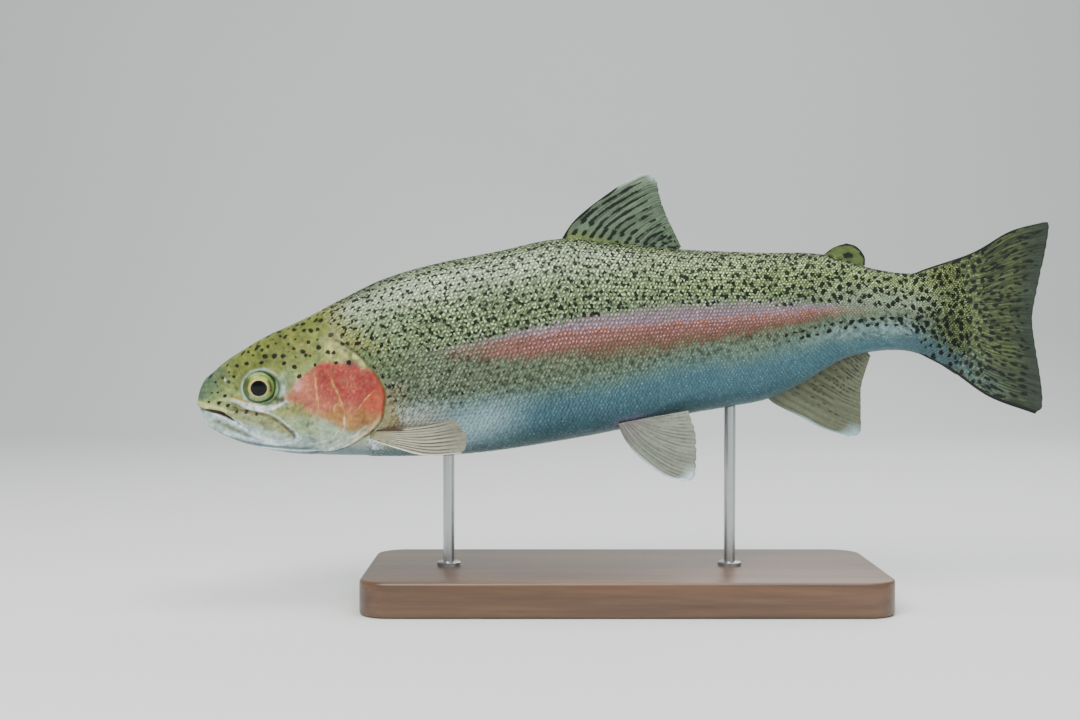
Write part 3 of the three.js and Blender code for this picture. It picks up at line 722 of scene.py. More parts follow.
def head_pigment(along, up, level):
    """The ground colour of the head, and how silvery it is."""
    wander = noise(along, up, 1.2, 21) - 0.5
    fine = noise(along, up, 0.4, 22) - 0.5
    rough = wander + 0.5 * fine
    cover, _ = path_distance(COVER_REAR, along, up)
    eye_along, eye_up = along - EYE[0], up - EYE[1]
    eye = mm_from(EYE, along, up, 1.08)

    coat = Coat(np.shape(along), HEAD_SIDE)
    coat.lay(HEAD_TOP, ramp(0.5, 0.8, level + 0.12 * rough))
    # Partly a cream marking, partly a painted highlight on the upper gill cover above the red.
    coat.lay(CREAM_AND_HIGHLIGHT, 0.55 * ramp(14.2, 16, along) * bump(up - 5.3 + 0.35 * (along - 17), 1.7))
    coat.lay(TEMPLE, 0.95 * bump(np.hypot(eye_along - 3.0, (eye_up + 0.4) * 0.62), 1.75))
    coat.lay(SNOUT, 0.85 * ramp(4.6, 1.0, along + 0.25 * (2 - up) + rough) * ramp(-1.0, 0.3, up))
    coat.lay(CHEEK, ramp(9.0, 11.5, along) * ramp(3.0, 1.0, up + 1.2 * rough))
    coat.lay(CHEEK_LOW, ramp(8.5, 11, along) * ramp(-1.8, -3.0, up + 0.8 * rough))
    mouth, _ = path_distance(MOUTH_LINE, along, up)
    lip = ramp(0.0, 0.4, mouth) * ramp(4.2, 2.4, mouth) * ramp(5.0, 3.4, along)
    coat.lay(LIP, 0.9 * lip)
    jaw_line = -3.4 - 0.22 * (along - 8) * ramp(8, 10, along)
    lower = ramp(0.5, -0.5, up - jaw_line + 0.5 * rough)
    below_mouth = ramp(0.3, -0.3, mouth) * (1 - ramp(10.6, 11.4, along))
    lower = np.maximum(lower * ramp(9.5, 11, along), below_mouth)
    coat.lay(JAW, lower)
    coat.lay(THROAT, 0.8 * lower * ramp(11, 14.5, along))
    band, band_place = path_distance(JAW_BAND, along, up)
    on_jaw = ramp(0.02, 0.12, band_place) * (1 - ramp(0.85, 1.0, band_place)) * lower
    olive = bump(band + 3.0, 2.1) * (0.5 + 0.5 * ramp(-0.15, 0.15, rough))
    coat.lay(JAW_MOTTLE, 0.9 * olive * on_jaw)
    freckle = ramp(0.62, 0.75, noise(along * 0.7, up, 0.35, 33))
    coat.lay(LINE_DARK, 0.55 * freckle * bump(band + 2.6, 1.8) * on_jaw)
    coat.lay(JAW_PALE_AND_HIGHLIGHT, bump(band - 0.1, 1.35) * on_jaw)
    # Painted highlight: a diagonal band of pale blue-white across the jaw.
    coat.lay(JAW_PALE_AND_HIGHLIGHT, 0.9 * bump(band + 11.5 - 1.24 * along + 0.8 * wander, 2.2) * on_jaw)
    chin, chin_place = path_distance(CHIN_LINE, along, up)
    chin_ends = off_ends(chin_place, 0.15, 0.85)
    coat.lay(ORBIT_DARK, 0.75 * bump(chin, 0.75) * chin_ends)
    # Painted shade: the underside of the head turns a darker teal towards the bottom.
    coat.lay(THROAT_SHADE_BLUE, 0.85 * ramp(0.10, 0.02, level) * ramp(1.5, 6, along))
    coat.lay(JAW_PALE_AND_HIGHLIGHT, 0.8 * bump(chin + 1.4, 0.8) * chin_ends)

    beneath_eye, band_place = path_distance(INFRAORBITAL, along, up)
    band_ends = off_ends(band_place, 0.12, 0.9)
    coat.lay(
        INFRAORBITAL_BROWN, 0.85 * band_ends * bump(beneath_eye - 2.0, 1.1) * ramp(7.6, 5.4, along)
    )
    half_band = 0.8 + 1.1 * bump(band_place - 0.5, 0.45)
    band = (
        ramp(half_band + 0.2, half_band - 0.4, np.abs(beneath_eye + 0.35 * fine)) * (0.95 + 0.25 * fine)
    )
    coat.lay(INFRAORBITAL_CREAM, np.clip(band * band_ends, 0, 1))
    cream_edge = bump(beneath_eye - 1.1, 0.7) * band_ends * ramp(9.4, 8.0, along)
    coat.lay(INFRAORBITAL_EDGE, 0.7 * cream_edge)
    dots = ramp(0.35, 0.6, noise(along, up * 0.4, 0.32, 25))
    beneath = bump(beneath_eye + 3.1, 1.3) * dots * ramp(3.4, 4.2, along) * ramp(7.6, 6.6, along)
    coat.lay(LINE_DARK, 0.85 * beneath)

    red_front = (
        10.0 + 0.42 * np.maximum(up, 0) + 0.1 * np.maximum(up, 0) ** 2 + 1.5 * np.maximum(-up, 0)
    )
    red = ramp(-0.4, 0.9, along - red_front + 0.9 * rough)
    top_edge = 2.25 + 2.0 * ramp(10.4, 15.6, along) - 1.4 * ramp(17.8, 21.6, along)
    red = red * ramp(0.35, -0.25, up - top_edge + 0.45 * rough)
    red = red * ramp(-4.2, -1.2, up - 0.32 * (16.5 - along) + 0.8 * rough) * ramp(-0.3, 0.3, cover)
    deep = ramp(12.8, 15.0, along) * ramp(-1.4, 0.6, up + 0.16 * (along - 17))
    coat.lay(GILL_ROSE, 0.85 * red)
    # Partly the pink of the gill cover's front, partly a painted highlight as a pale pink patch.
    pinker = red * ramp(12.6, 11.0, along) * ramp(0.5, 1.6, up + rough)
    coat.lay(GILL_PINK_AND_HIGHLIGHT, 0.8 * pinker)
    coat.lay(GILL_RED, 0.8 * red * deep * (0.8 + 0.9 * fine))
    glints = ramp(0.72, 0.9, noise(along, up, 0.16, 26) + 0.25 * wander)
    coat.lay(GILL_CREAM, 0.24 * glints * ramp(9.5, 12, along) * ramp(0.0, 0.6, cover))
    behind_line, _ = path_distance(SUBOPERCLE, along, up)
    rear_patch = ramp(-0.3, 0.8, behind_line) * ramp(17.2, 18.4, along) * ramp(1.6, 0.8, up)
    coat.lay(GILL_ORANGE, 0.85 * rear_patch * ramp(-3.2, -0.6, up) * ramp(-0.3, 0.3, cover))
    dusk = bump(np.hypot((along - 18.0) / 1.7, (up - 4.2 + 0.18 * (along - 18)) / 0.8), 1.0)
    coat.lay(GILL_DUSK, 0.75 * dusk)
    above_pale = up - pale_line(along) + 0.4 * rough
    tan = ramp(-0.7, -2.2, up + 0.7 * rough) * ramp(13.4, 15.2, along) * ramp(-0.4, 0.3, above_pale)
    coat.lay(GILL_TAN, 0.75 * tan * ramp(-0.3, 0.6, cover))
    pale = ramp(0.3, -0.5, above_pale) * ramp(13.0, 15.0, along) * ramp(-0.3, 0.3, cover)
    coat.lay(GILL_PALE, 0.85 * pale)
    coat.lay(WHITE_LINE, 0.3 * pale * ramp(-3.6, -5.0, up + 0.8 * rough))
    coat.lay(GILL_CREAM, 0.8 * bump(cover - 1.6, 2.2) * ramp(-1.6, -2.6, up) * ramp(17, 18.4, along))
    coat.lay(GILL_ORANGE, 0.75 * bump(cover - 0.9, 1.6) * ramp(-2.2, -0.8, up) * ramp(3.4, 2.0, up))

    for line, tint, strength, width in (
        (PREOPERCLE, GOLD_LINE, 0.8, 0.8), (CHEEK_LINE, GOLD_LINE, 0.75, 0.75),
        (SUBOPERCLE, GOLD_LINE, 0.75, 0.55),
        (INTEROPERCLE, WHITE_LINE, 0.7, 0.9), (BRANCHIALS[0], WHITE_LINE, 1.0, 1.1),
        (BRANCHIALS[1], WHITE_LINE, 0.9, 1.1),
    ):
        distance, place = path_distance(line, along, up)
        ends = off_ends(place, 0.22, 0.72)
        whiter = ramp(-1.5, -3.5, up)[..., None]
        mixed = tints_of(tint)[0] * (1 - whiter) + tints_of(WHITE_LINE)[0] * whiter
        broken = np.clip(0.75 + 1.3 * fine + 0.6 * wander, 0.2, 1)
        coat.lay(
            mixed, strength * bump(distance + 1.5 * wander + 0.5 * fine, 0.85 * width) * ends * broken
        )

    maxilla = inside_distance(MAXILLA, along, up)
    inside = ramp(-0.3, 0.5, maxilla)
    coat.lay(MAXILLA_OLIVE, 0.9 * inside)
    whiter = ramp(0.5, -0.4, up + 2.3 + 0.36 * (along - 4.6)) * ramp(4.0, 7.5, along)
    coat.lay(JAW, 0.75 * inside * whiter)
    flecked = ramp(0.62, 0.74, noise(along * 0.6, up, 0.3, 34)) * ramp(0.6, 1.2, maxilla)
    coat.lay(LINE_DARK, 0.4 * flecked * (1 - whiter))
    lower_rim = bump(maxilla - 0.3, 0.95) * ramp(0.6, -0.2, up + 1.9 + 0.42 * (along - 4.0))
    coat.lay(MAXILLA_RIM, 0.95 * lower_rim * ramp(3.4, 4.4, along))
    upper_rim = bump(maxilla + 0.1, 1.0) * ramp(-0.3, 0.5, up + 2.3 + 0.34 * (along - 4.0))
    coat.lay(LINE_DARK, np.clip(1.1 * upper_rim * ramp(3.2, 4.4, along) * (0.85 + 0.8 * fine), 0, 1))
    over_white = bump(maxilla + 1.7, 0.8) * ramp(-0.3, 0.5, up + 2.3 + 0.34 * (along - 4.0))
    coat.lay(JAW_PALE_AND_HIGHLIGHT, 0.7 * over_white * ramp(6.0, 8.0, along))
    under_lip = bump(maxilla + 1.8, 1.5) * ramp(0.6, -0.2, up + 1.9 + 0.42 * (along - 4.0))
    coat.lay(MAXILLA_RIM, 0.6 * under_lip * ramp(6.0, 8.5, along) * ramp(12.0, 10.5, along))

    # Painted highlight: a pale blue rim round the eye, on its upper front side only.
    fore = ramp(0.9, -1.1, eye_along - 0.8 * eye_up)
    coat.lay(ORBIT_RIM_HIGHLIGHT, 0.55 * bump(eye - 10.4, 1.2) * fore)
    behind = ramp(-0.4, 1.9, eye_along - 0.5 * eye_up)
    coat.lay(ORBIT_DARK, (0.6 + 0.3 * behind) * bump(eye - 9.0 - 0.5 * behind, 0.8 + 1.3 * behind))
    # Painted shadow of the orbit: a dark brown patch behind and under the eye.
    socket = np.hypot(eye_along - 2.2, (eye_up + 1.45) * 1.5)
    coat.lay(ORBIT_SHADOW, 0.85 * ramp(0.85, 0.3, socket + 0.4 * fine))

    gape = gape_at(along)
    coat.lay(JAW, 0.8 * bump(mouth + gape + 1.1, 1.2) * (1 - ramp(4.0, 5.2, along)))
    # Painted shade in the open mouth over the brown of its inside, and a painted shadow along the gap.
    dark = 1 - ramp(gape, gape + 0.4, np.abs(mouth))
    coat.lay(MOUTH_BROWN_SHADE, 0.95 * dark * ramp(0.1, 0.4, gape))
    crack = 1 - ramp(0.25 * gape, 0.25 * gape + 0.3, np.abs(mouth - 0.3 * gape))
    coat.lay(PIT_SHADOW, 0.8 * crack * ramp(0.1, 0.4, gape))
    # Painted shadow in the nostril pits.
    for place in NOSTRILS:
        nostril = mm_from(place, along, up, 1.1)
        coat.lay(PIT_SHADOW, 0.92 * (1 - ramp(0.7, 1.35, nostril)))
    flap = np.hypot((along - 3.2) * 1.6 + 0.8 * (up - 2.1), (up - 2.1) * 0.8) * TO_MM
    coat.lay(WHITE_LINE, 0.65 * ramp(1.1, 0.5, flap))
    blotch_place = np.hypot((along - 16.5) * 1.2, up + 1.25) * TO_MM
    coat.lay(GOLD_LINE, 0.6 * bump(blotch_place - 2.6, 0.9) * ramp(-0.1, 0.1, rough + 0.05))
    coat.lay(INFRAORBITAL_BROWN, 0.7 * ramp(2.2, 1.0, blotch_place + 1.5 * rough))
    cheek = ramp(8.5, 10.5, along) * ramp(15.5, 13.5, along) * ramp(0.3, -0.8, up)
    freckles = ramp(0.7, 0.82, noise(along, up, 0.3, 27)) * ramp(-4.6, -3.6, up)
    coat.lay(LINE_DARK, 0.45 * cheek * freckles)
    # Painted shade in the crease along the gill cover's rear edge.
    crevice_shadow = bump(cover + 0.4, 0.8) * ramp(12, 14, along)
    coat.lay(CREVICE_SHADOW, 0.75 * crevice_shadow * ramp(7.2, 5.4, up))
    shade_line = bump(cover + 0.6, 2.2) * ramp(2.8, 4.8, up) * ramp(7.2, 6.2, up)
    coat.lay(LINE_DARK, 0.75 * shade_line)

    speck = noise(along, up, 0.22, 23) - 0.5
    blotch = noise(along, up, 2.6, 24) - 0.5
    away_from_eye = ramp(9.5, 11.0, eye) * (1 - red) * ramp(0.25, 0.45, level)
    scuffed = ramp(0.52, 0.68, noise(along, up, 0.62, 29))
    coat.lay(MOTTLE_OLIVE, 0.4 * scuffed * away_from_eye)
    smudge = spot_field(along * TO_MM, up * TO_MM, 3.6, 1.0, 0.5, 1.0, 381)
    coat.lay(MOTTLE_OLIVE, 0.6 * ramp(-0.4, 0.4, smudge) * away_from_eye)
    coat.dim(1 + 0.34 * wander + 0.4 * fine + 0.36 * speck + 0.24 * blotch)
    # Painted highlight: random lighter patches on the upper half of the head.
    head_top_highlight = ramp(0.55, 0.75, noise(along, up * 1.6, 0.5, 28))
    coat.dim(1 + 0.16 * head_top_highlight * ramp(0.3, 0.6, level))
    silver = np.maximum(lower, 0.35 * ramp(0.6, 0.2, level))
    return np.clip(coat.shades[0], 0, 1), silver


def head_ink(along, up, level, around, right):
    """How far inside the head's black spots a place is, in mm. The right side has its own places."""
    ink = np.full(np.shape(along), -9.0)
    for number, (spot_along, spot_up, radius) in enumerate(HEAD_SPOTS):
        moved = right * (hashed(number, 1, 51) - 0.5) * 1.3
        raised = right * (hashed(number, 2, 51) - 0.5) * 1.3
        across, high = (along - spot_along - moved) * TO_MM, (up - spot_up - raised) * TO_MM
        lean = hashed(number, 3, 51) - 0.5
        ink = np.maximum(
            ink, radius - np.hypot(across * 0.92 + lean * high, high - 0.4 * lean * across)
        )
    crown = spot_field(along * TO_MM, around, 5.2, 1.0, 0.8, 0.9, 351) - 2.5 * ramp(0.93, 0.84, level)
    flecks = (
        spot_field(along * TO_MM, around, 2.6, 1.0, 0.1, 0.6, 371) - 0.15
        - 1.2 * ramp(0.62, 0.42, level)
    )
    return np.maximum(
        ink,
        np.maximum(crown, flecks) - 2.0 * ramp(11.0, 10.0, np.hypot(along - EYE[0], up - EYE[1]) * 4.5)
    )


def behind_head(along, up):
    """0 on the head, 1 where the scales begin behind the gill cover and the nape."""
    border, _ = path_distance(SCALE_BORDER, along, up)
    return ramp(-0.5, 0.5, border + 1.6 * (noise(along, up, 0.8, 5) - 0.5) * ramp(4.5, 6.5, up))


def all_markings(points, turns, strayed=0.0):
    """The markings at points of skin or scales, by the name of the attribute that carries them.

    Points are in percent. Strayed moves the place the ground colour is read at, so that it can differ
    from scale to scale along a border."""
    along, up = seen_beside(points)
    level = level_of(points[..., 0], points[..., 2])
    around = from_ridge(points[..., 0], turns)
    right = around > 0
    body = body_pigment(along + strayed, up + 0.7 * strayed, level)
    line = bump(up - lateral_line(along), 0.2)
    line = line * ramp(33, 40, along) * (1 - ramp(72, 80, along))
    line = line * (0.1 + 0.6 * noise(along, up, 0.5, 15))
    body.lay(LINE_ORANGE, line)
    head, head_silver = head_pigment(along, up, level)
    ink, brightness, soft = body_ink(along, up, around)
    ground = body.shades[0] * (1 - 0.6 * soft)[..., None]
    middle = body.shades[1] * (1 - 0.65 * soft)[..., None]
    share = behind_head(along, up)
    spread = share[..., None]
    return {
        "pigment": ground * spread + head * (1 - spread),
        "middle": middle * spread + np.clip(head * 1.5, 0, 1) * (1 - spread),
        "ink": np.where(share > 0.5, ink, head_ink(along, up, level, around, right)),
        "silver": ramp(0.8, 0.25, level) * share + head_silver * (1 - share),
        "brightness": brightness * share + 0.3 * (1 - share),
    }


def put_markings(mesh, markings):
    """Writes the markings to a mesh as colours and numbers of its points."""
    for name, values in markings.items():
        if name in ("pigment", "middle"):
            put_colour(mesh, name, values)
        else:
            put_number(mesh, name, values)


def make_mesh(name, vertices, faces):
    """A new object from arrays of points and of faces with the same number of corners."""
    mesh = bpy.data.meshes.new(name)
    faces = np.asarray(faces)
    mesh.vertices.add(len(vertices))
    mesh.vertices.foreach_set("co", np.asarray(vertices, np.float32).ravel())
    sides = faces.shape[1]
    mesh.loops.add(faces.size)
    mesh.loops.foreach_set("vertex_index", faces.astype(np.int32).ravel())
    mesh.polygons.add(len(faces))
    mesh.polygons.foreach_set("loop_start", np.arange(0, faces.size, sides, dtype=np.int32))
    mesh.polygons.foreach_set("use_smooth", np.ones(len(faces), bool))
    mesh.update(calc_edges=True)
    mesh.validate()
    thing = bpy.data.objects.new(name, mesh)
    bpy.context.scene.collection.objects.link(thing)
    return thing


def tube_faces(rings, steps):
    """Quads between rings of points that close on themselves."""
    index = np.arange(rings * steps).reshape(rings, steps)
    ahead = np.roll(index, -1, axis=1)
    return np.stack([index[:-1], index[1:], ahead[1:], ahead[:-1]], -1).reshape(-1, 4)


def put_number(mesh, name, values):
    attribute = mesh.attributes.new(name, "FLOAT", "POINT")
    attribute.data.foreach_set("value", np.asarray(values, np.float32).ravel())


def put_colour(mesh, name, values):
    attribute = mesh.attributes.new(name, "FLOAT_COLOR", "POINT")
    values = np.asarray(values, np.float32).reshape(-1, 3)
    attribute.data.foreach_set(
        "color", np.hstack([values, np.ones((len(values), 1), np.float32)]).ravel()
    )


def put_vector(mesh, name, values):
    attribute = mesh.attributes.new(name, "FLOAT_VECTOR", "POINT")
    attribute.data.foreach_set("vector", np.asarray(values, np.float32).ravel())


def put_uv(mesh, corners):
    """Writes the map of a mesh, corner by corner."""
    layer = mesh.uv_layers.new(name="OFBake")
    layer.data.foreach_set("uv", np.asarray(corners, np.float32).ravel())


class Nodes:
    """A new material and short ways to add nodes to it."""

    def __init__(self, name):
        self.material = bpy.data.materials.new(name)
        self.material.use_nodes = True
        self.tree = self.material.node_tree
        self.tree.nodes.clear()

    def add(self, kind, inputs=None, **settings):
        """Adds a node with its settings, and sets or links its inputs by name or number."""
        node = self.tree.nodes.new("ShaderNode" + kind)
        for name, value in settings.items():
            setattr(node, name, value)
        for name, value in (inputs or {}).items():
            socket = node.inputs[name]
            if isinstance(value, bpy.types.NodeSocket):
                self.tree.links.new(value, socket)
            else:
                socket.default_value = value
        return node.outputs

    def place(self):
        return self.add("TexCoord")["Object"]

    def attribute(self, name, output="Fac"):
        return self.add("Attribute", attribute_name=name)[output]

    def noise(self, place, scale, detail, **more):
        """Noise of a scale per metre."""
        return self.add("TexNoise", {"Vector": place, "Scale": scale, "Detail": detail, **more})[0]

    def remap(self, value, low, high, to_low=0.0, to_high=1.0, **settings):
        """The value moved from one range to another, and kept inside it."""
        ranges = {"From Min": low, "From Max": high, "To Min": to_low, "To Max": to_high}
        return self.add("MapRange", {"Value": value, **ranges}, **settings)[0]

    def math(self, operation, *values, **settings):
        return self.add("Math", dict(enumerate(values)), operation=operation, **settings)[0]

    def scaled(self, colour, factor):
        return self.add("VectorMath", {0: colour, "Scale": factor}, operation="SCALE")[0]

    def mix(self, share, first, second):
        return self.add("Mix", {0: share, 6: first, 7: second}, data_type="RGBA")[2]

    def bumps(self, height, strength, distance):
        """The shading of small bumps, as deep as the distance."""
        return self.add("Bump", {"Height": height, "Strength": strength, "Distance": distance})[0]

    def finish(self, **inputs):
        """Adds the surface, given its inputs with _ for a space, and returns the material."""
        named = {name.replace("_", " "): value for name, value in inputs.items()}
        surface = self.add("BsdfPrincipled", named)[0]
        self.add("OutputMaterial", {"Surface": surface})
        return self.material


def inked(nodes, place, ground, away):
    """Lays black over a ground colour where the ink attribute is above 0, with a slightly ragged edge.

    Returns the colour and how black it is."""
    ragged = nodes.noise(place, 1100.0, 2.0)
    moved = nodes.math("MULTIPLY_ADD", ragged, 1.1, nodes.attribute("ink"))
    pushed = nodes.math("MULTIPLY_ADD", away, -0.25, moved)
    edge = nodes.remap(pushed, 0.35, 0.75, 0.0, 0.96)
    return nodes.mix(edge, ground, to_linear(SPOT_BLACK) + (1,)), edge


def scale_middle(nodes, place):
    """1 on a scale's bright middle stroke, falling to 0 at its rim; partly pale silver, partly painted
    glint.

    The tile attribute holds the place on the stroke, and a chance for the whole scale."""
    parts = nodes.add("SeparateXYZ", {0: nodes.attribute("tile", "Vector")})
    flat = nodes.add("CombineXYZ", {0: parts[0], 1: parts[1]})[0]
    reach = nodes.add("VectorMath", {0: flat}, operation="LENGTH")["Value"]
    bright = nodes.attribute("brightness")
    smaller = nodes.math("MULTIPLY_ADD", bright, -0.5, reach)
    uneven = nodes.math("MULTIPLY_ADD", nodes.noise(place, 820.0, 2.0), 2.2, smaller)
    falloff = nodes.remap(uneven, 1.75, 0.9, interpolation_type="SMOOTHSTEP")
    share = nodes.math("MULTIPLY", bright, nodes.remap(parts[2], 0.0, 1.0, 0.4, 1.15))
    return nodes.math("MULTIPLY", falloff, share, use_clamp=True)


def skin_material(name, on_scales):
    """Wet trout skin: pigment under clear slime, with black spots and a silvery flank.

    The same markings are read by the skin and by the scales over it."""
    nodes = Nodes(name)
    place = nodes.place()
    mottle = nodes.noise(place, 430.0, 4.0, Roughness=0.7)
    ground = nodes.scaled(
        nodes.attribute("pigment", "Color"), nodes.remap(mottle, 0.3, 0.7, 0.76, 1.24)
    )
    away = 0.0
    if on_scales:
        away = scale_middle(nodes, place)
        ground = nodes.mix(away, ground, nodes.attribute("middle", "Color"))
    marked, blackness = inked(nodes, place, ground, away)
    shine = nodes.remap(nodes.attribute("silver"), 0.0, 1.0, 0.05, 0.35)
    matt = nodes.math("MULTIPLY_ADD", blackness, -0.3, shine)
    rough = nodes.remap(mottle, 0.0, 1.0, 0.36, 0.56)
    return nodes.finish(
        Base_Color=marked,
        Metallic=nodes.math("MAXIMUM", matt, 0.0),
        Roughness=nodes.math("MULTIPLY_ADD", blackness, 0.3, rough),
        Normal=nodes.bumps(nodes.noise(place, 1500.0, 2.0), 0.15, 0.1 * MM),
        IOR=1.28,
        Coat_Weight=0.1 if on_scales else 0.22,
        Coat_Roughness=0.16,
        Coat_IOR=1.33,
    )


def columns_along():
    """Places of the skin's columns: fine on the head, with a few closer ones at the two tips."""
    head = np.linspace(0, FINE_HEAD, HEAD_COLUMNS)
    head = head - 0.9 * np.sin(np.clip(head / 4, 0, 1) * np.pi) * (1 - head / 4) * (head < 4) * 0.9
    body = (
        FINE_HEAD + (BODY_END - FINE_HEAD)
        * np.sin(np.linspace(0, 1, BODY_COLUMNS + 1)[1:] * np.pi / 2 * 0.92)
        / math.sin(np.pi / 2 * 0.92)
    )
    tip = BODY_END - END_ROUND * (1 - np.sin(np.linspace(0, 1, 14) * np.pi / 2)) * 0.5
    body = body[body < tip[0] - 0.3]
    return np.concatenate([head, body, tip])


def rows_round(along):
    """Turns of the skin's rows at one column, even in length but closer together at the mouth line."""
    tries = left_turns(900)
    points = body_surface(along, tries)
    step = np.hypot(np.diff(points[:, 1]), np.diff(points[:, 2]))
    mouth = mouth_height(min(along, 11.4))
    middle = (points[1:, 2] + points[:-1, 2]) / 2
    crowd = 1 + 2.2 * np.exp(-(((middle - mouth) / 0.55) ** 2)) * float(1 - ramp(10.5, 17, along))
    length = running_sum((step + 1e-7) * crowd)
    return np.interp(np.linspace(0, length[-1], SIDE_ROWS + 1), length, tries)


def ring_grid(columns):
    """Turns of every point of the skin: for each column, from the belly round by the left side."""
    turns = np.array([rows_round(a) for a in columns])
    right = 0.5 - turns[:, -2:0:-1]
    return np.concatenate([turns, right], axis=1)


def normals_of(points):
    """Outward directions on a grid whose second way closes on itself."""
    forward = np.gradient(points, axis=0)
    around = np.roll(points, -1, axis=1) - np.roll(points, 1, axis=1)
    normal = np.cross(forward, around)
    length = np.linalg.norm(normal, axis=-1, keepdims=True)
    return normal / np.maximum(length, 1e-12)


class TroutSizes(bpy.types.PropertyGroup):
    scale_lift: bpy.props.FloatProperty(
        name="Scale lift", description="How far the rear edge of a scale stands above its front edge",
        default=0.24 * MM, subtype="DISTANCE", unit="LENGTH",
    )
    fin_edge: bpy.props.FloatProperty(
        name="Fin edge", description="Thickness of the fins' membrane at the margin",
        default=0.55 * MM, subtype="DISTANCE", unit="LENGTH",
    )
    rod_radius: bpy.props.FloatProperty(
        name="Rod radius", description="Radius of the two steel rods of the stand",
        default=3.0 * MM, subtype="DISTANCE", unit="LENGTH",
    )
    camera_distance: bpy.props.FloatProperty(
        name="Camera distance", description="From the camera to the middle of the fish",
        default=0.794, subtype="DISTANCE", unit="LENGTH",
    )


class TroutColours(bpy.types.PropertyGroup):
    wood: bpy.props.FloatVectorProperty(
        name="Wood", description="Colour of the oiled hardwood base", size=3, subtype="COLOR",
        default=to_linear("#5a4130"), min=0, max=1,
    )
    floor: bpy.props.FloatVectorProperty(
        name="Floor", description="Colour of the studio floor and backdrop", size=3, subtype="COLOR",
        default=to_linear("#d9dcda"), min=0, max=1,
    )


class TROUT_OT_skin(bpy.types.Operator):
    """Makes the one skin of head, jaws, gill covers, trunk and tail"""

    bl_idname = "trout.skin"
    bl_label = "Skin"

    def execute(self, context):
        columns = columns_along()
        turns = ring_grid(columns)
        along = np.broadcast_to(columns[:, None], turns.shape)
        plain = body_surface(along, turns)
        outward = normals_of(plain)
        seen_along, seen_up = seen_beside(plain)
        relief = head_relief(seen_along, seen_up) * MM
        scaled = behind_head(seen_along, seen_up) * ramp(SCALE_START, SCALE_START + 1, seen_along)
        relief = relief * (1 - ramp(*RELIEF_END, seen_along)) - COAT_DEPTH * scaled
        points = to_metres(plain) + outward * relief[..., None]
        rows = turns.shape[1]
        count = len(columns)
        points[0] = points[0].mean(axis=0)
        points[-1] = points[-1].mean(axis=0)

        skin = make_mesh("trout_skin", points.reshape(-1, 3), tube_faces(count, rows))
        mesh = skin.data
        put_markings(mesh, all_markings(plain, turns))

        span = 1 - 2 * MAP_MARGIN
        u = MAP_MARGIN + span * columns / BODY_END
        v = MAP_MARGIN + span * np.arange(rows + 1) / rows
        grid_u, grid_v = np.meshgrid(u, v, indexing="ij")
        flat = np.stack([grid_u, grid_v], -1)
        corners = np.stack([flat[:-1, :-1], flat[1:, :-1], flat[1:, 1:], flat[:-1, 1:]], 2).reshape(
            -1, 4, 2
        )
        put_uv(mesh, corners)
        mesh.materials.append(skin_material("Wet trout skin", False))
        weld_poles(skin)
        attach(skin, "root")
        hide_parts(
            "head", "lower_jaw", "maxilla_left", "maxilla_right", "gill_cover_left",
            "gill_cover_right", "trunk", "tail",
        )
        return {"FINISHED"}


def edit_all(thing, change, **settings):
    """Runs one edit mode operator on all of a mesh."""
    for item in bpy.context.view_layer.objects:
        item.select_set(item == thing)
    bpy.context.view_layer.objects.active = thing
    bpy.ops.object.mode_set(mode="EDIT")
    bpy.ops.mesh.select_all(action="SELECT")
    change(**settings)
    bpy.ops.mesh.select_all(action="DESELECT")
    bpy.ops.object.mode_set(mode="OBJECT")


def weld_poles(thing):
    """Joins the points that meet at the two tips."""
    edit_all(thing, bpy.ops.mesh.remove_doubles, threshold=1e-6)


class TROUT_OT_scales(bpy.types.Operator):
    """Lays the scales over the skin, in four long pieces from the gill to the tail"""

    bl_idname = "trout.scales"
    bl_label = "Scales"

    def execute(self, context):
        lift = context.scene.trout_sizes.scale_lift
        material = skin_material("Wet trout scales", True)
        for side, upper in (("left", True), ("left", False), ("right", True), ("right", False)):
            name = f"scales_{side}_{'upper' if upper else 'lower'}"
            coat = scale_piece(name, side == "right", upper, lift)
            coat.data.materials.append(material)
            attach(coat, "root")
        return {"FINISHED"}


def even_turns(along, places):
    """Turns on the left side at shares of the length from belly to back, for each place along."""
    tries = left_turns(500)
    result = np.zeros((len(along), len(places)))
    for i, a in enumerate(along):
        points = body_surface(a, tries)
        length = running_sum(np.hypot(np.diff(points[:, 1]), np.diff(points[:, 2])))
        result[i] = np.interp(places * length[-1], length, tries)
    return result


def scale_roots(upper, salt):
    """Where the scales of a quarter are rooted: their columns and rows, their places along and round,
    and the spacing of the columns there."""
    shrink = curve_through(SCALE_LENGTHS)
    walk = np.linspace(SCALE_START, SCALE_END, 600)
    steps = running_sum(1 / shrink(walk[:-1]) * np.diff(walk))
    column_along = np.interp(np.linspace(0, steps[-1], SCALE_COLUMNS), steps, walk)
    spacing = np.gradient(column_along)
    half = SCALE_ROWS // 2
    rows = np.arange(half, SCALE_ROWS) if upper else np.arange(0, half)
    i, j = np.meshgrid(np.arange(SCALE_COLUMNS), rows, indexing="ij")
    stagger = (j % 2) * 0.5
    jitter_along = (hashed(i, j, salt + 1) - 0.5) * 0.42
    jitter_round = (hashed(i, j, salt + 2) - 0.5) * 0.34
    root_along = column_along[i] + (stagger + jitter_along) * spacing[i]
    root_place = (j + 0.5 + jitter_round) / SCALE_ROWS
    return i, j, root_along, root_place, spacing[i]


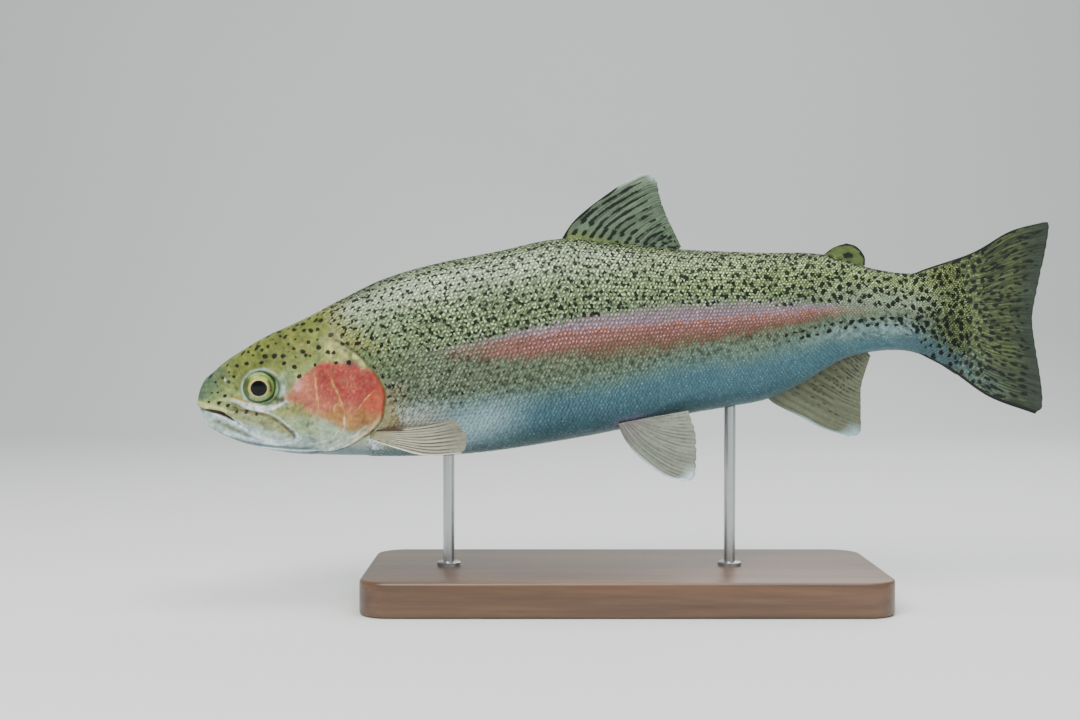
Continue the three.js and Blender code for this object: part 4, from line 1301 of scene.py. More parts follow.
def scale_tile():
    """The points of one scale as shares of its length, half width and lift, with its rim last."""
    forward, across = np.meshgrid([row[0] for row in TILE_ROWS], TILE_ACROSS, indexing="ij")
    widths = np.array([row[1] for row in TILE_ROWS])[:, None]
    heights = np.array([row[2] for row in TILE_ROWS])[:, None] * (1 - 0.22 * across**2)
    sideways = across * widths
    forward = np.where(forward > 0.9, 1.28 - 0.55 * across**2, forward)
    forward = np.vstack([forward, forward[-1:] - 0.02])
    sideways = np.vstack([sideways, sideways[-1:]])
    heights = np.vstack([heights, np.full((1, len(TILE_ACROSS)), -0.6)])
    return forward.ravel(), sideways.ravel(), heights.ravel()


def over_left_side(surface, along, turn, rise):
    """Points at a height over points of the left side, in metres."""
    forward = body_surface(along + 0.05, turn) - surface
    around = body_surface(along, turn + 0.001) - body_surface(along, turn - 0.001)
    normal = np.cross(around, forward)
    normal /= np.maximum(np.linalg.norm(normal, axis=-1, keepdims=True), 1e-12)
    normal *= -np.sign((normal[:, 1] * np.cos(turn * 2 * np.pi)).mean())
    return to_metres(surface) + normal * rise[:, None]


def scale_piece(name, right, upper, lift):
    """One quarter of the coat. Each scale is a small convex tile with a round rear edge and a rim."""
    salt = (5 if right else 0) + (0 if upper else 9)
    i, j, root_along, root_place, spacing = scale_roots(upper, salt)
    tile_along, tile_across, tile_height = scale_tile()
    per = tile_along.size
    size = (0.9 + 0.2 * hashed(i, j, salt + 3))[..., None]
    along = root_along[..., None] + spacing[..., None] * size * tile_along
    place = root_place[..., None] + tile_across * TILE_REACH * size / SCALE_ROWS
    along = np.clip(along, SCALE_START - 1, BODY_END - 1.0).ravel()
    place = np.clip(place, 0, 1).ravel()

    table_along = np.linspace(SCALE_START - 1, BODY_END - 1.0, 260)
    table = even_turns(table_along, np.linspace(0, 1, 160))
    column = (along - table_along[0]) / (table_along[1] - table_along[0])
    turn = read_grid(table, column, place * (table.shape[1] - 1))
    surface = body_surface(along, turn)
    tilt = 1 + 0.5 * (hashed(i, j, salt + 4) - 0.5)
    rise = -COAT_DEPTH + lift * 0.45 + lift * tile_height * tilt[..., None]
    points = over_left_side(surface, along, turn, rise.ravel())

    middle = surface.reshape(i.shape + (per, 3))[..., TILE_ROOT, :]
    keep = (behind_head(*seen_beside(middle)) > 0.5) & (root_along > SCALE_START)
    keep &= ~((root_along < 20) & (middle[..., 2] < -5.2))
    keep &= root_along < SCALE_END - 1.2 * np.abs(root_place - 0.5) * 4
    kept = keep.ravel()
    points, surface = (values.reshape(-1, per, 3)[kept] for values in (points, surface))
    turn = turn.reshape(-1, per)[kept]
    chances = [hashed(i, j, salt + 6 + k).ravel()[kept][:, None] for k in range(5)]

    cols = len(TILE_ACROSS)
    corners = np.arange(len(TILE_ROWS) * cols).reshape(-1, cols)[:, :-1].reshape(-1, 1)
    quads = corners + np.array([0, 1, cols + 1, cols])
    if right:
        points[..., 1] *= -1
        surface = surface * np.array([1, -1, 1])
        turn = 0.5 - turn
    else:
        quads = quads[:, ::-1]
    faces = (quads[None] + (np.arange(len(points)) * per)[:, None, None]).reshape(-1, 4)
    coat = make_mesh(name, points.reshape(-1, 3), faces)

    markings = all_markings(surface, turn, 1.3 * (chances[1] - 0.5))
    # Painted glints: scales picked at random get a bright middle, even low on the flank.
    sparkle = 0.12 + 0.55 * (chances[4] > 0.55)
    markings["brightness"] = np.maximum(markings["brightness"], sparkle)
    put_markings(coat.data, markings)
    strokes = bright_strokes(surface[:, TILE_CENTRE], tile_along, tile_across, chances)
    put_vector(coat.data, "tile", strokes)

    across_map = (root_along - SCALE_START) / (SCALE_END - SCALE_START)
    up_map = (root_place - (0.5 if upper else 0.0)) / 0.5
    patch = []
    for roots, inside in ((across_map, tile_along / 1.6), (up_map, tile_across / 2)):
        start = MAP_MARGIN + PATCH_SPAN * roots.ravel()[kept][:, None]
        patch.append(start + PATCH * inside[None])
    put_uv(coat.data, np.stack(patch, -1).reshape(-1, 2)[faces.ravel()])
    return coat


def bright_strokes(middles, tile_along, tile_across, chances):
    """For each point of each scale, its place on the bright stroke in the middle, and a chance for the
    whole scale. The strokes lie every way above the stripe and at the front, and even lower down."""
    along, up = seen_beside(middles)
    above_stripe = up - lateral_line(along) - stripe_above(along)
    wild = np.clip(ramp(-0.6, 0.8, above_stripe) + ramp(33, 25, along), 0, 1)[:, None]
    lean = 2.2 * (chances[3] - 0.5) * (0.25 + 0.75 * wild)
    ahead, sideways = (tile_along - 0.72) * 2.2, tile_across * 1.9
    width, length = 0.62 - 0.1 * wild, (0.7 + 0.55 * wild) * (0.8 + 0.5 * chances[2])
    first = (ahead * np.cos(lean) + sideways * np.sin(lean)) / width + 0.5 * (chances[2] - 0.5)
    second = (sideways * np.cos(lean) - ahead * np.sin(lean)) / length + 0.5 * (chances[4] - 0.5)
    return np.stack([first, second, np.broadcast_to(chances[0], first.shape)], -1)


# The eye: its half section as (radius, height) in mm, its height against its width, how far its axis
# is turned back and down, and how deep it sits in the head.
EYE_PROFILE = [
    (0.0, 2.45), (1.4, 2.4), (2.9, 2.2), (4.3, 1.88), (5.6, 1.5), (6.8, 1.02), (7.8, 0.45),
    (8.5, -0.2), (8.85, -1.2), (8.6, -3.0), (7.4, -4.4), (5.0, -5.6), (2.5, -6.1), (0.0, -6.3),
]
EYE_STEPS = 96
EYE_OVAL = 0.94
EYE_YAW = math.radians(9)
EYE_ROLL = math.radians(6)
EYE_SUNK = 0.4 * MM


class TROUT_OT_eyes(bpy.types.Operator):
    """Turns the two eyes: a domed black pupil in a gold ring, a silver-green iris and a clear shine"""

    bl_idname = "trout.eyes"
    bl_label = "Eyes"

    def execute(self, context):
        for side in ("left", "right"):
            make_eye(side)
        return {"FINISHED"}


def make_eye(side):
    """One eye from a profile turned about its axis, which points a little back and down."""
    fine = smooth_path(EYE_PROFILE)
    angle = np.arange(EYE_STEPS) / EYE_STEPS * 2 * np.pi
    radius = np.maximum(fine[:, 0], 0)[:, None]
    x = radius * np.cos(angle)
    z = radius * np.sin(angle) * EYE_OVAL
    y = np.broadcast_to(-fine[:, 1][:, None], x.shape)
    points = np.stack([x, y, z], -1) * MM
    faces = tube_faces(len(points), EYE_STEPS)
    centre = body_surface(np.array([EYE_PLACE[0]]), np.array([turn_at(*EYE_PLACE)]))[0]
    ahead, aside = math.cos(EYE_YAW), math.sin(EYE_YAW)
    turn_yaw = np.array([[ahead, aside, 0], [-aside, ahead, 0], [0, 0, 1]])
    ahead, aside = math.cos(EYE_ROLL), math.sin(EYE_ROLL)
    turn_roll = np.array([[1, 0, 0], [0, ahead, aside], [0, -aside, ahead]])
    placed = points.reshape(-1, 3) @ turn_roll @ turn_yaw
    placed = placed + to_metres(centre) + np.array([0, EYE_SUNK, 0])
    if side == "right":
        placed[:, 1] *= -1
        faces = faces[:, ::-1]
    eye = make_mesh(f"eyeball_{side}", placed, faces)
    put_colour(eye.data, "pigment", np.clip(paint_eye(points.reshape(-1, 3) / MM), 0, 1))
    weld_poles(eye)
    face_outwards(eye)
    eye.data.materials.append(eye_material())
    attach(eye, "root")
    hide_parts(f"eye_{side}")


def paint_eye(local):
    """Colours of pupil, gold ring, iris and limbus at points of the eye, in mm from its axis."""
    tints = TINTS["iris"]
    x, z = local[:, 0], local[:, 2] / EYE_OVAL
    limbus = np.hypot(x, z)
    ring = np.hypot(x + 0.65, (z - 0.05) * 0.97)
    bearing = np.arctan2(z - 0.05, x + 0.65)
    grain = noise(x + 40, z + 40, 1.1, 31)
    streak = hashed(np.floor(bearing * 17), np.zeros_like(bearing), 4)
    coat = Coat(ring.shape, tints["green"])
    coat.lay(tints["inner"], 0.4 * bump(ring - 5.3, 0.6))
    # Painted highlight: the upper side of the iris is lighter.
    bright = ramp(0.35, 0.75, np.sin(bearing - 0.2) + 0.8 * (grain - 0.5)) * ramp(7.6, 6.0, ring)
    coat.lay(tints["bright"], 0.6 * bright)
    low = ramp(0.3, 0.9, -np.sin(bearing) + 0.6 * (grain - 0.5)) * ramp(7.9, 6.0, ring)
    coat.lay(tints["low"], 0.7 * low)
    dark = ramp(0.6, 0.85, -np.cos(bearing + 0.1) + 0.5 * (grain - 0.5)) * ramp(5.2, 5.8, ring)
    rear = ramp(0.75, 0.95, np.cos(bearing - 0.1) + 0.4 * (grain - 0.5)) * bump(ring - 6.2, 1.6)
    arc = bump(ring - 7.0, 0.5) * ramp(0.2, 0.6, np.sin(bearing - 0.3))
    coat.lay(tints["front"], 0.85 * dark)
    coat.lay(tints["rear"], 0.9 * rear)
    coat.lay(tints["arc"], 0.75 * arc)
    coat.dim(0.75 + 0.4 * grain + 0.18 * streak)
    coat.lay(tints["limbus"], 0.9 * ramp(7.3, 8.2, limbus + 0.09 * (x - z)))
    coat.lay(tints["gold"], 0.9 * bump(ring - 4.5, 0.42))
    coat.lay(tints["pupil"], 1 - ramp(4.15, 4.45, ring))
    return coat.shades[0]


def turn_at(along, up):
    """The turn of the left side's surface at a height."""
    tries = left_turns(800)
    heights = body_surface(along, tries)[:, 2]
    return float(np.interp(up, heights, tries))


def face_outwards(thing):
    """Turns every face of a closed mesh outwards."""
    edit_all(thing, bpy.ops.mesh.normals_make_consistent, inside=False)


def eye_material():
    """The wet, clear cornea of a fish over its iris: colour from the iris, a sharp coat over it."""
    nodes = Nodes("Clear cornea over iris")
    return nodes.finish(
        Base_Color=nodes.attribute("pigment", "Color"), Roughness=0.3, IOR=1.2, Coat_Weight=1.0,
        Coat_Roughness=0.02, Coat_IOR=1.22,
    )


# Fins in side view, in percent. Leading and trailing are the first and the last ray; base and
# margin join the ends of the rays. Root is the thickness at the base, ridge the height of the rays
# and torn the raggedness of the margin, in mm. Out, flare and fold bend a paired fin away from the
# body, in mm.
DORSAL = {
    "leading": [(42.2, 17.6), (44.4, 20.9), (48.8, 24.35), (51.6, 25.95), (53.1, 26.3)],
    "margin": [(53.1, 26.3), (53.9, 25.3), (54.4, 23.2), (55.3, 20.9), (56.8, 17.7)],
    "trailing": [(55.9, 16.6), (56.8, 17.7)],
    "base": [(42.2, 17.6), (49, 17.2), (55.9, 16.6)],
    "rays": 13, "columns": 156, "rows": 60, "root": 2.8, "torn": 0.6, "ridge": 0.3,
}
ADIPOSE = {
    "leading": [(72.9, 16.2), (74.6, 17.55), (76.2, 18.1)],
    "margin": [(76.2, 18.1), (77.4, 17.7), (78.3, 16.6), (78.4, 15.5)],
    "trailing": [(76.6, 15.1), (78.4, 15.5)],
    "base": [(72.9, 16.2), (76.6, 15.1)],
    "rays": 0, "columns": 60, "rows": 36, "root": 2.2, "torn": 0, "ridge": 0,
}
ANAL = {
    "leading": [(66.7, 0.7), (67.6, -0.6), (70.9, -2.3), (73.4, -3.6), (76.6, -4.65)],
    "margin": [(76.6, -4.65), (77.9, -4.1), (78, -1.4), (78.1, 1.6), (79.1, 4.9)],
    "trailing": [(78.2, 5.9), (79.1, 4.9)],
    "base": [(66.7, 0.7), (71.6, 2.8), (75, 4.9), (78.2, 5.9)],
    "rays": 12, "columns": 144, "rows": 56, "root": 2.6, "torn": 0.4, "ridge": 0.22,
}
CAUDAL = {
    "leading": [(83, 13.3), (84.6, 14.75), (90.9, 16.95), (95.4, 19.5), (99.4, 20.6)],
    "margin": [
        (99.4, 20.6), (99.95, 19.9), (98.7, 13), (98.1, 9.4), (98.6, 5.4), (99.4, -0.6), (98.5, -1.95),
    ],
    "trailing": [(83, 6.6), (84.9, 5.15), (88.6, 3.15), (93.1, 0.05), (98.5, -1.95)],
    "base": [(83, 13.3), (87.4, 10), (83, 6.6)],
    "rays": 21, "columns": 252, "rows": 80, "root": 2.9, "torn": 0.3, "ridge": 0.28,
}
PELVIC = {
    "leading": [(49.3, -2.9), (50.9, -5.9), (53.9, -8.5), (56.6, -9.45)],
    "margin": [(56.6, -9.45), (57.9, -9.0), (58.2, -6.6), (58.1, -3.8), (57.3, -1.35)],
    "trailing": [(51.8, -2.4), (57.3, -1.35)],
    "base": [(49.3, -2.9), (51.8, -2.4)],
    "rays": 10, "columns": 120, "rows": 52, "root": 2.4, "torn": 1.0, "ridge": 0.22, "out": 12.5,
    "flare": 9, "fold": 3,
}
PECTORAL = {
    "leading": [(20.6, -4.6), (23.4, -5.5), (27.2, -6.3), (31.4, -5.9)],
    "margin": [(31.4, -5.9), (31.95, -5.3), (31.95, -3.7), (30.6, -1.95)],
    "trailing": [(20.9, -3.6), (24.6, -3.3), (28.0, -2.65), (30.6, -1.95)],
    "base": [(20.6, -4.7), (20.9, -3.7)],
    "rays": 12, "columns": 144, "rows": 52, "root": 2.6, "torn": 1.0, "ridge": 0.25, "out": 16.5,
    "flare": 21, "fold": -1.5,
}


def along_path(path, shares):
    """Points at even lengths of a smooth path."""
    fine = smooth_path(path, 8)
    length = running_sum(np.hypot(*np.diff(fine, axis=0).T))
    wanted = shares * length[-1]
    return np.stack([np.interp(wanted, length, fine[:, 0]), np.interp(wanted, length, fine[:, 1])], -1)


def fin_grid(fin, columns, rows):
    """Side-view points of a fin: rays across, and out from base to margin."""
    across = np.linspace(0, 1, columns + 1)
    out = np.linspace(0, 1, rows + 1)
    base, margin = along_path(fin["base"], across), along_path(fin["margin"], across)
    leading, trailing = along_path(fin["leading"], out), along_path(fin["trailing"], out)
    a, o = np.meshgrid(across, out, indexing="ij")
    a3, o3 = a[..., None], o[..., None]
    points = (
        base[:, None] * (1 - o3) + margin[:, None] * o3 + leading[None] * (1 - a3) + trailing[None] * a3
    )
    points = points - (
        (base[0] * (1 - a3) + base[-1] * a3) * (1 - o3) + (margin[0] * (1 - a3) + margin[-1] * a3) * o3
    )
    return points, a, o


def both_faces(values):
    """Values of one face of a fin, carried on round its rear edge to the other face."""
    return np.concatenate([values, values[::-1]])


def fin_piece(name, fin, edge, paint_fin, mirrored=False):
    """A closed fin: two faces with raised rays, a thin margin that dips between the rays."""
    columns, rows, rays = fin["columns"], fin["rows"], fin["rays"]
    points, across, out = fin_grid(fin, columns, rows)
    if rays:
        wave = 0.5 - 0.5 * np.cos(2 * np.pi * across * rays)
        split = 0.5 - 0.5 * np.cos(4 * np.pi * across * rays)
        ray = (1 - wave) * (1 - ramp(0.45, 0.8, out)) + (1 - split) * ramp(0.45, 0.8, out)
        torn = (hashed(np.floor(across * rays), np.zeros_like(across), 8) * 0.012 + 0.006) * fin["torn"]
        dip = wave * torn * ramp(0.9, 1.0, out)
        points = points - dip[..., None] * (points[:, -1:] - points[:, :1])
        ripple = 0.5 * np.sin(across * 9 + out * 3) + 0.3 * np.sin(across * 21 - out * 5)
    else:
        ray = np.zeros_like(across)
        ripple = 0 * across
    thickness = edge / MM + (fin["root"] * 0.8 - edge / MM) * (1 - out) ** 2
    thickness = thickness + fin["ridge"] * ray * (1 - 0.75 * out)
    lean = np.zeros_like(out)
    if "out" in fin:
        lean = fin["out"] + fin["flare"] * out**1.2 - fin["fold"] * across * out
    middle = -lean + ripple * out * (1 - 0.3 * across)
    near, far = (
        np.stack([points[..., 0], (middle + half) * MM / PERCENT, points[..., 1]], -1)
        for half in (-thickness / 2, thickness / 2)
    )
    ring = np.concatenate([near, far[::-1]])
    count = ring.shape[0]
    index = np.arange(count * (rows + 1)).reshape(count, rows + 1)
    ahead = np.roll(index, -1, axis=0)
    sides = np.stack([index[:, :-1], index[:, 1:], ahead[:, 1:], ahead[:, :-1]], -1).reshape(-1, 4)
    front = np.arange(columns)
    back = count - 1 - front
    caps = []
    for row, flip in ((0, False), (rows, True)):
        cap = np.stack(
            [index[front, row], index[front + 1, row], index[back - 1, row], index[back, row]], -1
        )
        caps.append(cap[:, ::-1] if flip else cap)
    faces = np.vstack([sides] + caps)
    placed = to_metres(ring.reshape(-1, 3))
    if mirrored:
        placed[:, 1] *= -1
    piece = make_mesh(name, placed, faces)
    coat, ink, scaly = paint_fin(across, out, ray, rays, points)
    put_number(piece.data, "scaly", both_faces(scaly))
    put_colour(piece.data, "pigment", np.clip(both_faces(coat.shades[0]), 0, 1))
    put_number(piece.data, "ink", both_faces(ink))
    face_outwards(piece)
    return piece


def ray_dashes(across, out, rays, rows, density, salt, length, slant=0.0, loose=0.35, width=0.55):
    """How far inside a dash a place is, from about -1 to 1. They lie along the rays in loose rows."""
    lane = np.floor(across * rays * 2)
    inside = across * rays * 2 - lane - 0.5
    place = out * rows + loose * hashed(lane, 0 * lane, salt) + slant * across
    cell = np.floor(place)
    shift = 0.4 * (hashed(lane, cell, salt + 1) - 0.5)
    fraction = place - cell - 0.5 - shift
    kept = hashed(lane, cell, salt + 2) < density
    size = 0.6 + 0.8 * hashed(lane, cell, salt + 3)
    distance = np.hypot(inside / width, fraction / (length * size * 0.55))
    return np.where(kept, 1 - distance, -2.0)


def ray_streaks(across, rays, salt, out):
    """Uneven light and dark along the rays, from -0.5 to 0.5."""
    lane = across * rays * 4
    low, high = np.floor(lane), np.floor(lane) + 1
    t = lane - low
    part = np.floor(out * 7)
    first = hashed(low, 0 * low, salt) + 0.3 * hashed(low, part, salt + 1)
    second = hashed(high, 0 * low, salt) + 0.3 * hashed(high, part, salt + 1)
    return (first * (1 - t) + second * t) / 1.3 - 0.5


def ray_lines(across, rays, salt, out):
    """Thin dark lines between the rays, uneven in strength along them, from 0 to 1."""
    lane = across * rays * 2 + 0.35 * (noise(out * 5, across * 9, 1.0, salt) - 0.5)
    number = np.floor(lane)
    strength = noise(out * 6, number * 3.7, 1.0, salt + 1)
    return ramp(0.34, 0.06, np.abs(lane - number - 0.5)) * ramp(0.3, 0.75, strength)


def paint_dorsal(across, out, ray, rays, points):
    """Green-grey membrane with slanting rows of dark bars, small marks at the foot and a pale tip."""
    tints = TINTS["dorsal"]
    coat = Coat(across.shape, tints["ground"])
    coat.lay(tints["foot"], 0.85 * ramp(0.24, 0.1, out))
    coat.lay(tints["rear"], 0.7 * ramp(0.7, 1.0, across))
    coat.dim(1 + 0.7 * ray_streaks(across, rays, 43, out))
    lines = ray_lines(across, rays * 1.3, 44, out) * ramp(0.15, 0.35, out)
    coat.lay(tints["lines"], 0.8 * lines)
    sway = across - 0.035 + 0.02 * np.sin(out * 5)
    uneven = noise(out * 9, across * 30, 1.0, 48) - 0.5
    bars = (
        0.8 * ray_dashes(sway, out, 6.3, 5.8, 0.92, 41, 1.3, 1.4, 0.9, 0.22 + 0.1 * uneven)
        + 0.45 * uneven
    )
    bars = bars - 1.4 * ramp(0.72, 1.0, out + 0.3 * ray_streaks(across, rays, 45, out)) - 9 * (sway < 0)
    feet = 1.2 * ray_dashes(across - 0.035, out + 0.03 * across, 6.3, 9, 1.0, 42, 0.8, 0.0, 0.0, 0.26)
    feet = feet - 9 * (np.abs(out - 0.22) > 0.09)
    bars = bars - 9 * (out < 0.27)
    specks = 1.1 * ray_dashes(across, out, 7.5, 10, 0.75, 46, 0.7, 0.0, 0.0, 0.34) - 9 * (out > 0.1)
    edge = (0.022 + 0.01 * np.sin(out * 23) - across) * 60 - 5 * ramp(0.68, 0.8, out)
    rear = (
        ray_dashes(across, out, 7.5, 8.5, 0.6, 47, 0.9, 0.0, 0.5, 0.26) - 9 * (across < 0.66)
        - 9 * (out > 0.86)
    )
    ink = np.maximum(np.maximum(bars, feet), np.maximum(np.maximum(specks, edge), rear))
    tip = ramp(0.62, 0.85, out) * ramp(0.045, 0.0, across)
    tip = np.maximum(tip, 0.6 * ramp(0.92, 1.0, out) * ramp(0.25, 0.0, across))
    coat.lay(tints["tip"], 0.85 * tip)
    return coat, ink, ramp(0.16, 0.06, out)


def paint_caudal(across, out, ray, rays, points):
    """Dark olive membrane with streaks and spots, and the tail's small scales run out on it."""
    tints = TINTS["caudal"]
    along, up = points[..., 0], points[..., 1]
    coat = Coat(across.shape, tints["ground"])
    coat.lay(tints["rays"], 0.5 * ray * ramp(1.0, 0.7, out))
    bluish = ramp(0.7, 0.95, across) * ramp(0.98, 0.5, out)
    coat.lay(tints["bluish"], 0.75 * bluish)
    coat.lay(tints["margin"], 0.85 * ramp(0.76, 0.95, out))
    streaks = ray_streaks(across, rays, 53, out) + 0.6 * (noise(out * 9, across * 40, 1.0, 55) - 0.5)
    coat.dim(1 + 0.8 * streaks * ramp(1.2, 0.8, out))
    lines = ray_lines(across, rays * 1.5, 54, out) * ramp(0.3, 0.5, out) * ramp(1.1, 0.9, out)
    coat.lay(tints["lines"], 0.75 * lines)
    bent = across + 0.012 * (noise(out * 14, across * 22, 1.0, 62) - 0.5)
    strokes = ray_dashes(bent, out, rays * 1.35, 11, 0.55, 61, 1.2, 0.0, 2.0, 0.36)
    fading = ramp(0.97, 0.6, out + 0.2 * (noise(out * 7, across * 30, 1.0, 63) - 0.5))
    coat.lay(tints["strokes"], 0.6 * ramp(0.0, 0.7, strokes) * fading)
    far = out * 58
    sideways = across * 92
    spots = spot_field(sideways, 0.66 * far, 3.9, 0.9, 0.92, 0.5, 51, 0.7)
    fine = spot_field(sideways * 1.3, 0.55 * far, 2.7, 0.9, 0.4, 0.8, 56)
    fade = (
        ramp(0.88, 1.04, out + 0.14 * ray_streaks(across, rays, 59, out)) + 0.1 * ramp(0.45, 0.8, out)
    )
    spots = np.maximum(spots, fine) - 2.0 * fade
    down = -(back_height(np.minimum(along, BODY_END)) - up) * TO_MM
    body_spots = spot_field(along * TO_MM, down, 4.3, 1.04, 1.15, 0.5, 331, 0.66)
    near = ramp(92.8, 91.6, along + 0.8 * (noise(along, up, 1.5, 57) - 0.5))
    ink = np.where(near > 0.5, body_spots, spots)
    rim = np.minimum(across - 0.02, 0.983 - across) + 0.012 * (noise(out * 12, across, 1.0, 58) - 0.5)
    scaly = ramp(94.2, 91.2, along + 2.2 * (noise(along, up, 1.1, 60) - 0.5))
    return coat, np.maximum(ink, -rim * 80), scaly


def paint_anal(across, out, ray, rays, points):
    """Warm grey membrane with dark lines between the rays, and a pale blue front tip."""
    tints = TINTS["anal"]
    coat = Coat(across.shape, tints["ground"])
    coat.lay(tints["foot"], 0.8 * ramp(0.75, 0.2, out) * ramp(0.1, 0.5, across))
    coat.lay(tints["rays"], 0.4 * ray)
    coat.dim(1 + 0.35 * ray_streaks(across, rays, 63, out))
    lines = ray_lines(across, rays * 1.3, 61, out) * ramp(0.16, 0.4, across) * ramp(0.1, 0.3, out)
    coat.lay(tints["lines"], 0.8 * lines * ramp(0.95, 0.7, out))
    specks = ray_dashes(across, out, rays, 13, 0.34, 78, 0.9, 0.0, 0.8, 0.3) * ramp(0.1, 0.3, across)
    coat.lay(tints["specks"], 0.8 * ramp(0.0, 0.5, specks) * ramp(0.95, 0.8, out))
    tip = ramp(0.8, 0.97, out) * ramp(0.26, 0.05, across)
    coat.lay(tints["tip"], 0.9 * tip)
    edge = ramp(0.04, 0.0, across) * ramp(0.2, 0.6, out)
    coat.lay(tints["tip"], 0.8 * edge)
    return coat, np.full(across.shape, -2.0), 0 * out


def paint_pelvic(across, out, ray, rays, points):
    """Grey, rosy at the foot, with thin dark lines and a pale blue front tip."""
    tints = TINTS["pelvic"]
    coat = Coat(across.shape, tints["ground"])
    coat.lay(tints["foot"], 0.8 * ramp(0.4, 0.0, out))
    coat.lay(tints["rear"], 0.5 * ramp(0.6, 1.0, across) * ramp(0.3, 0.7, out))
    coat.lay(tints["rays"], 0.35 * ray)
    coat.dim(1 + 0.3 * ray_streaks(across, rays, 67, out))
    coat.lay(tints["lines"], 0.55 * ray_lines(across, rays, 65, out) * ramp(1.0, 0.8, out))
    tip = ramp(0.84, 0.98, out) * ramp(0.36, 0.06, across)
    coat.lay(tints["tip"], 0.9 * tip)
    edge = ramp(0.07, 0.0, across) * ramp(0.2, 0.6, out)
    coat.lay(tints["tip"], 0.9 * edge)
    return coat, np.full(across.shape, -2.0), 0 * out


def paint_pectoral(across, out, ray, rays, points):
    """Pale rays between dark lines, brown in the armpit, with a cream leading edge."""
    tints = TINTS["pectoral"]
    coat = Coat(across.shape, tints["ground"])
    lane = across * 10 + 0.3 * (noise(out * 4, across * 6, 1.0, 76) - 0.5)
    pale_ray = ramp(0.34, 0.1, np.abs(lane - np.floor(lane) - 0.5)) * ramp(0.08, 0.3, out)
    gap = ramp(0.3, 0.46, np.abs(lane - np.floor(lane) - 0.5)) * ramp(0.15, 0.35, out)
    gap = gap * ramp(0.2, 0.6, noise(out * 5, np.floor(lane + 0.5) * 3.7, 1.0, 77))
    coat.lay(tints["rays"], 0.75 * pale_ray * ramp(1.0, 0.6, out))
    coat.lay(tints["lines"], 0.9 * gap * ramp(1.0, 0.75, out))
    coat.lay(tints["foot"], 0.6 * ramp(0.3, 0.0, out))
    coat.dim(1 + 0.3 * ray_streaks(across, rays, 73, out))
    coat.lay(tints["armpit"], 0.95 * ramp(0.8, 0.92, across) * ramp(0.42, 0.34, out))
    speck = ray_dashes(across, out, rays, 12, 0.25, 71, 0.5) - 0.2 - 2 * ramp(0.25, 0.45, out)
    speck = speck - 2 * ramp(0.3, 0.6, across)
    coat.lay(tints["second_ray"], 0.6 * bump(across - 0.11, 0.05) * ramp(0.9, 0.5, out))
    coat.lay(tints["edge"], 0.9 * ramp(0.07, 0.02, across))
    return coat, speck, 0 * out


def paint_adipose(across, out, ray, rays, points):
    """Olive, with a dark rim and three dark spots."""
    tints = TINTS["adipose"]
    coat = Coat(across.shape, tints["ground"])
    ink = (
        np.maximum((out - 0.91) * 12, (0.05 - across) * 12)
        + 1.2 * (noise(across, out, 0.13, 81) - 0.5)
    )
    for place, reach in (((0.5, 0.55), 0.12), ((0.15, 0.12), 0.12), ((0.85, 0.12), 0.1)):
        ink = np.maximum(ink, 6 * (reach - np.hypot(across - place[0], (out - place[1]) * 0.8)))
    coat.dim(0.8 + 0.5 * noise(across, out, 0.1, 82))
    return coat, ink, ramp(0.5, 0.1, out)


def fin_material(name, roughness):
    """Thin wet membrane on bony rays, with pale flecks where small scales run out on it."""
    nodes = Nodes(name)
    place = nodes.place()
    pigment = nodes.attribute("pigment", "Color")
    mottle = nodes.noise(place, 600.0, 3.0)
    ground = nodes.scaled(pigment, nodes.remap(mottle, 0.3, 0.7, 0.85, 1.12))
    cells = nodes.add("TexVoronoi", {"Vector": place, "Scale": 760.0, "Randomness": 0.85})
    dot = nodes.remap(cells["Distance"], 0.55, 0.2)
    share = nodes.math("MULTIPLY", dot, nodes.attribute("scaly"))
    flecked = nodes.mix(share, ground, nodes.scaled(pigment, 2.6))
    return nodes.finish(
        Base_Color=inked(nodes, place, flecked, 0.0)[0],
        Roughness=roughness,
        Normal=nodes.bumps(mottle, 0.25, 0.15 * MM),
        IOR=1.33,
        Coat_Weight=0.15,
        Coat_Roughness=0.2,
    )


class TROUT_OT_fins(bpy.types.Operator):
    """Makes the eight fins, with raised rays that split towards the margin"""

    bl_idname = "trout.fins"
    bl_label = "Fins"

    def execute(self, context):
        edge = context.scene.trout_sizes.fin_edge
        dark = fin_material("Wet dark fin membrane", 0.4)
        pale = fin_material("Wet pale fin membrane", 0.36)
        plan = [
            ("dorsal", DORSAL, paint_dorsal, dark, "fin_dark", False),
            ("adipose", ADIPOSE, paint_adipose, dark, "fin_dark", False),
            ("anal", ANAL, paint_anal, pale, "fin_pale", False),
            ("caudal", CAUDAL, paint_caudal, dark, "fin_dark", False),
            ("pelvic_left", PELVIC, paint_pelvic, pale, "fin_pale", False),
            ("pelvic_right", PELVIC, paint_pelvic, pale, "fin_pale", True),
            ("pectoral_left", PECTORAL, paint_pectoral, pale, "fin_pale", False),
            ("pectoral_right", PECTORAL, paint_pectoral, pale, "fin_pale", True),
        ]
        for name, fin, painter, material, slot, mirrored in plan:
            piece = fin_piece(f"rayed_{name}_fin", fin, edge, painter, mirrored)
            piece.data.materials.append(material)
            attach(piece, "root")
            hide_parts(f"fin_{name}")
        return {"FINISHED"}


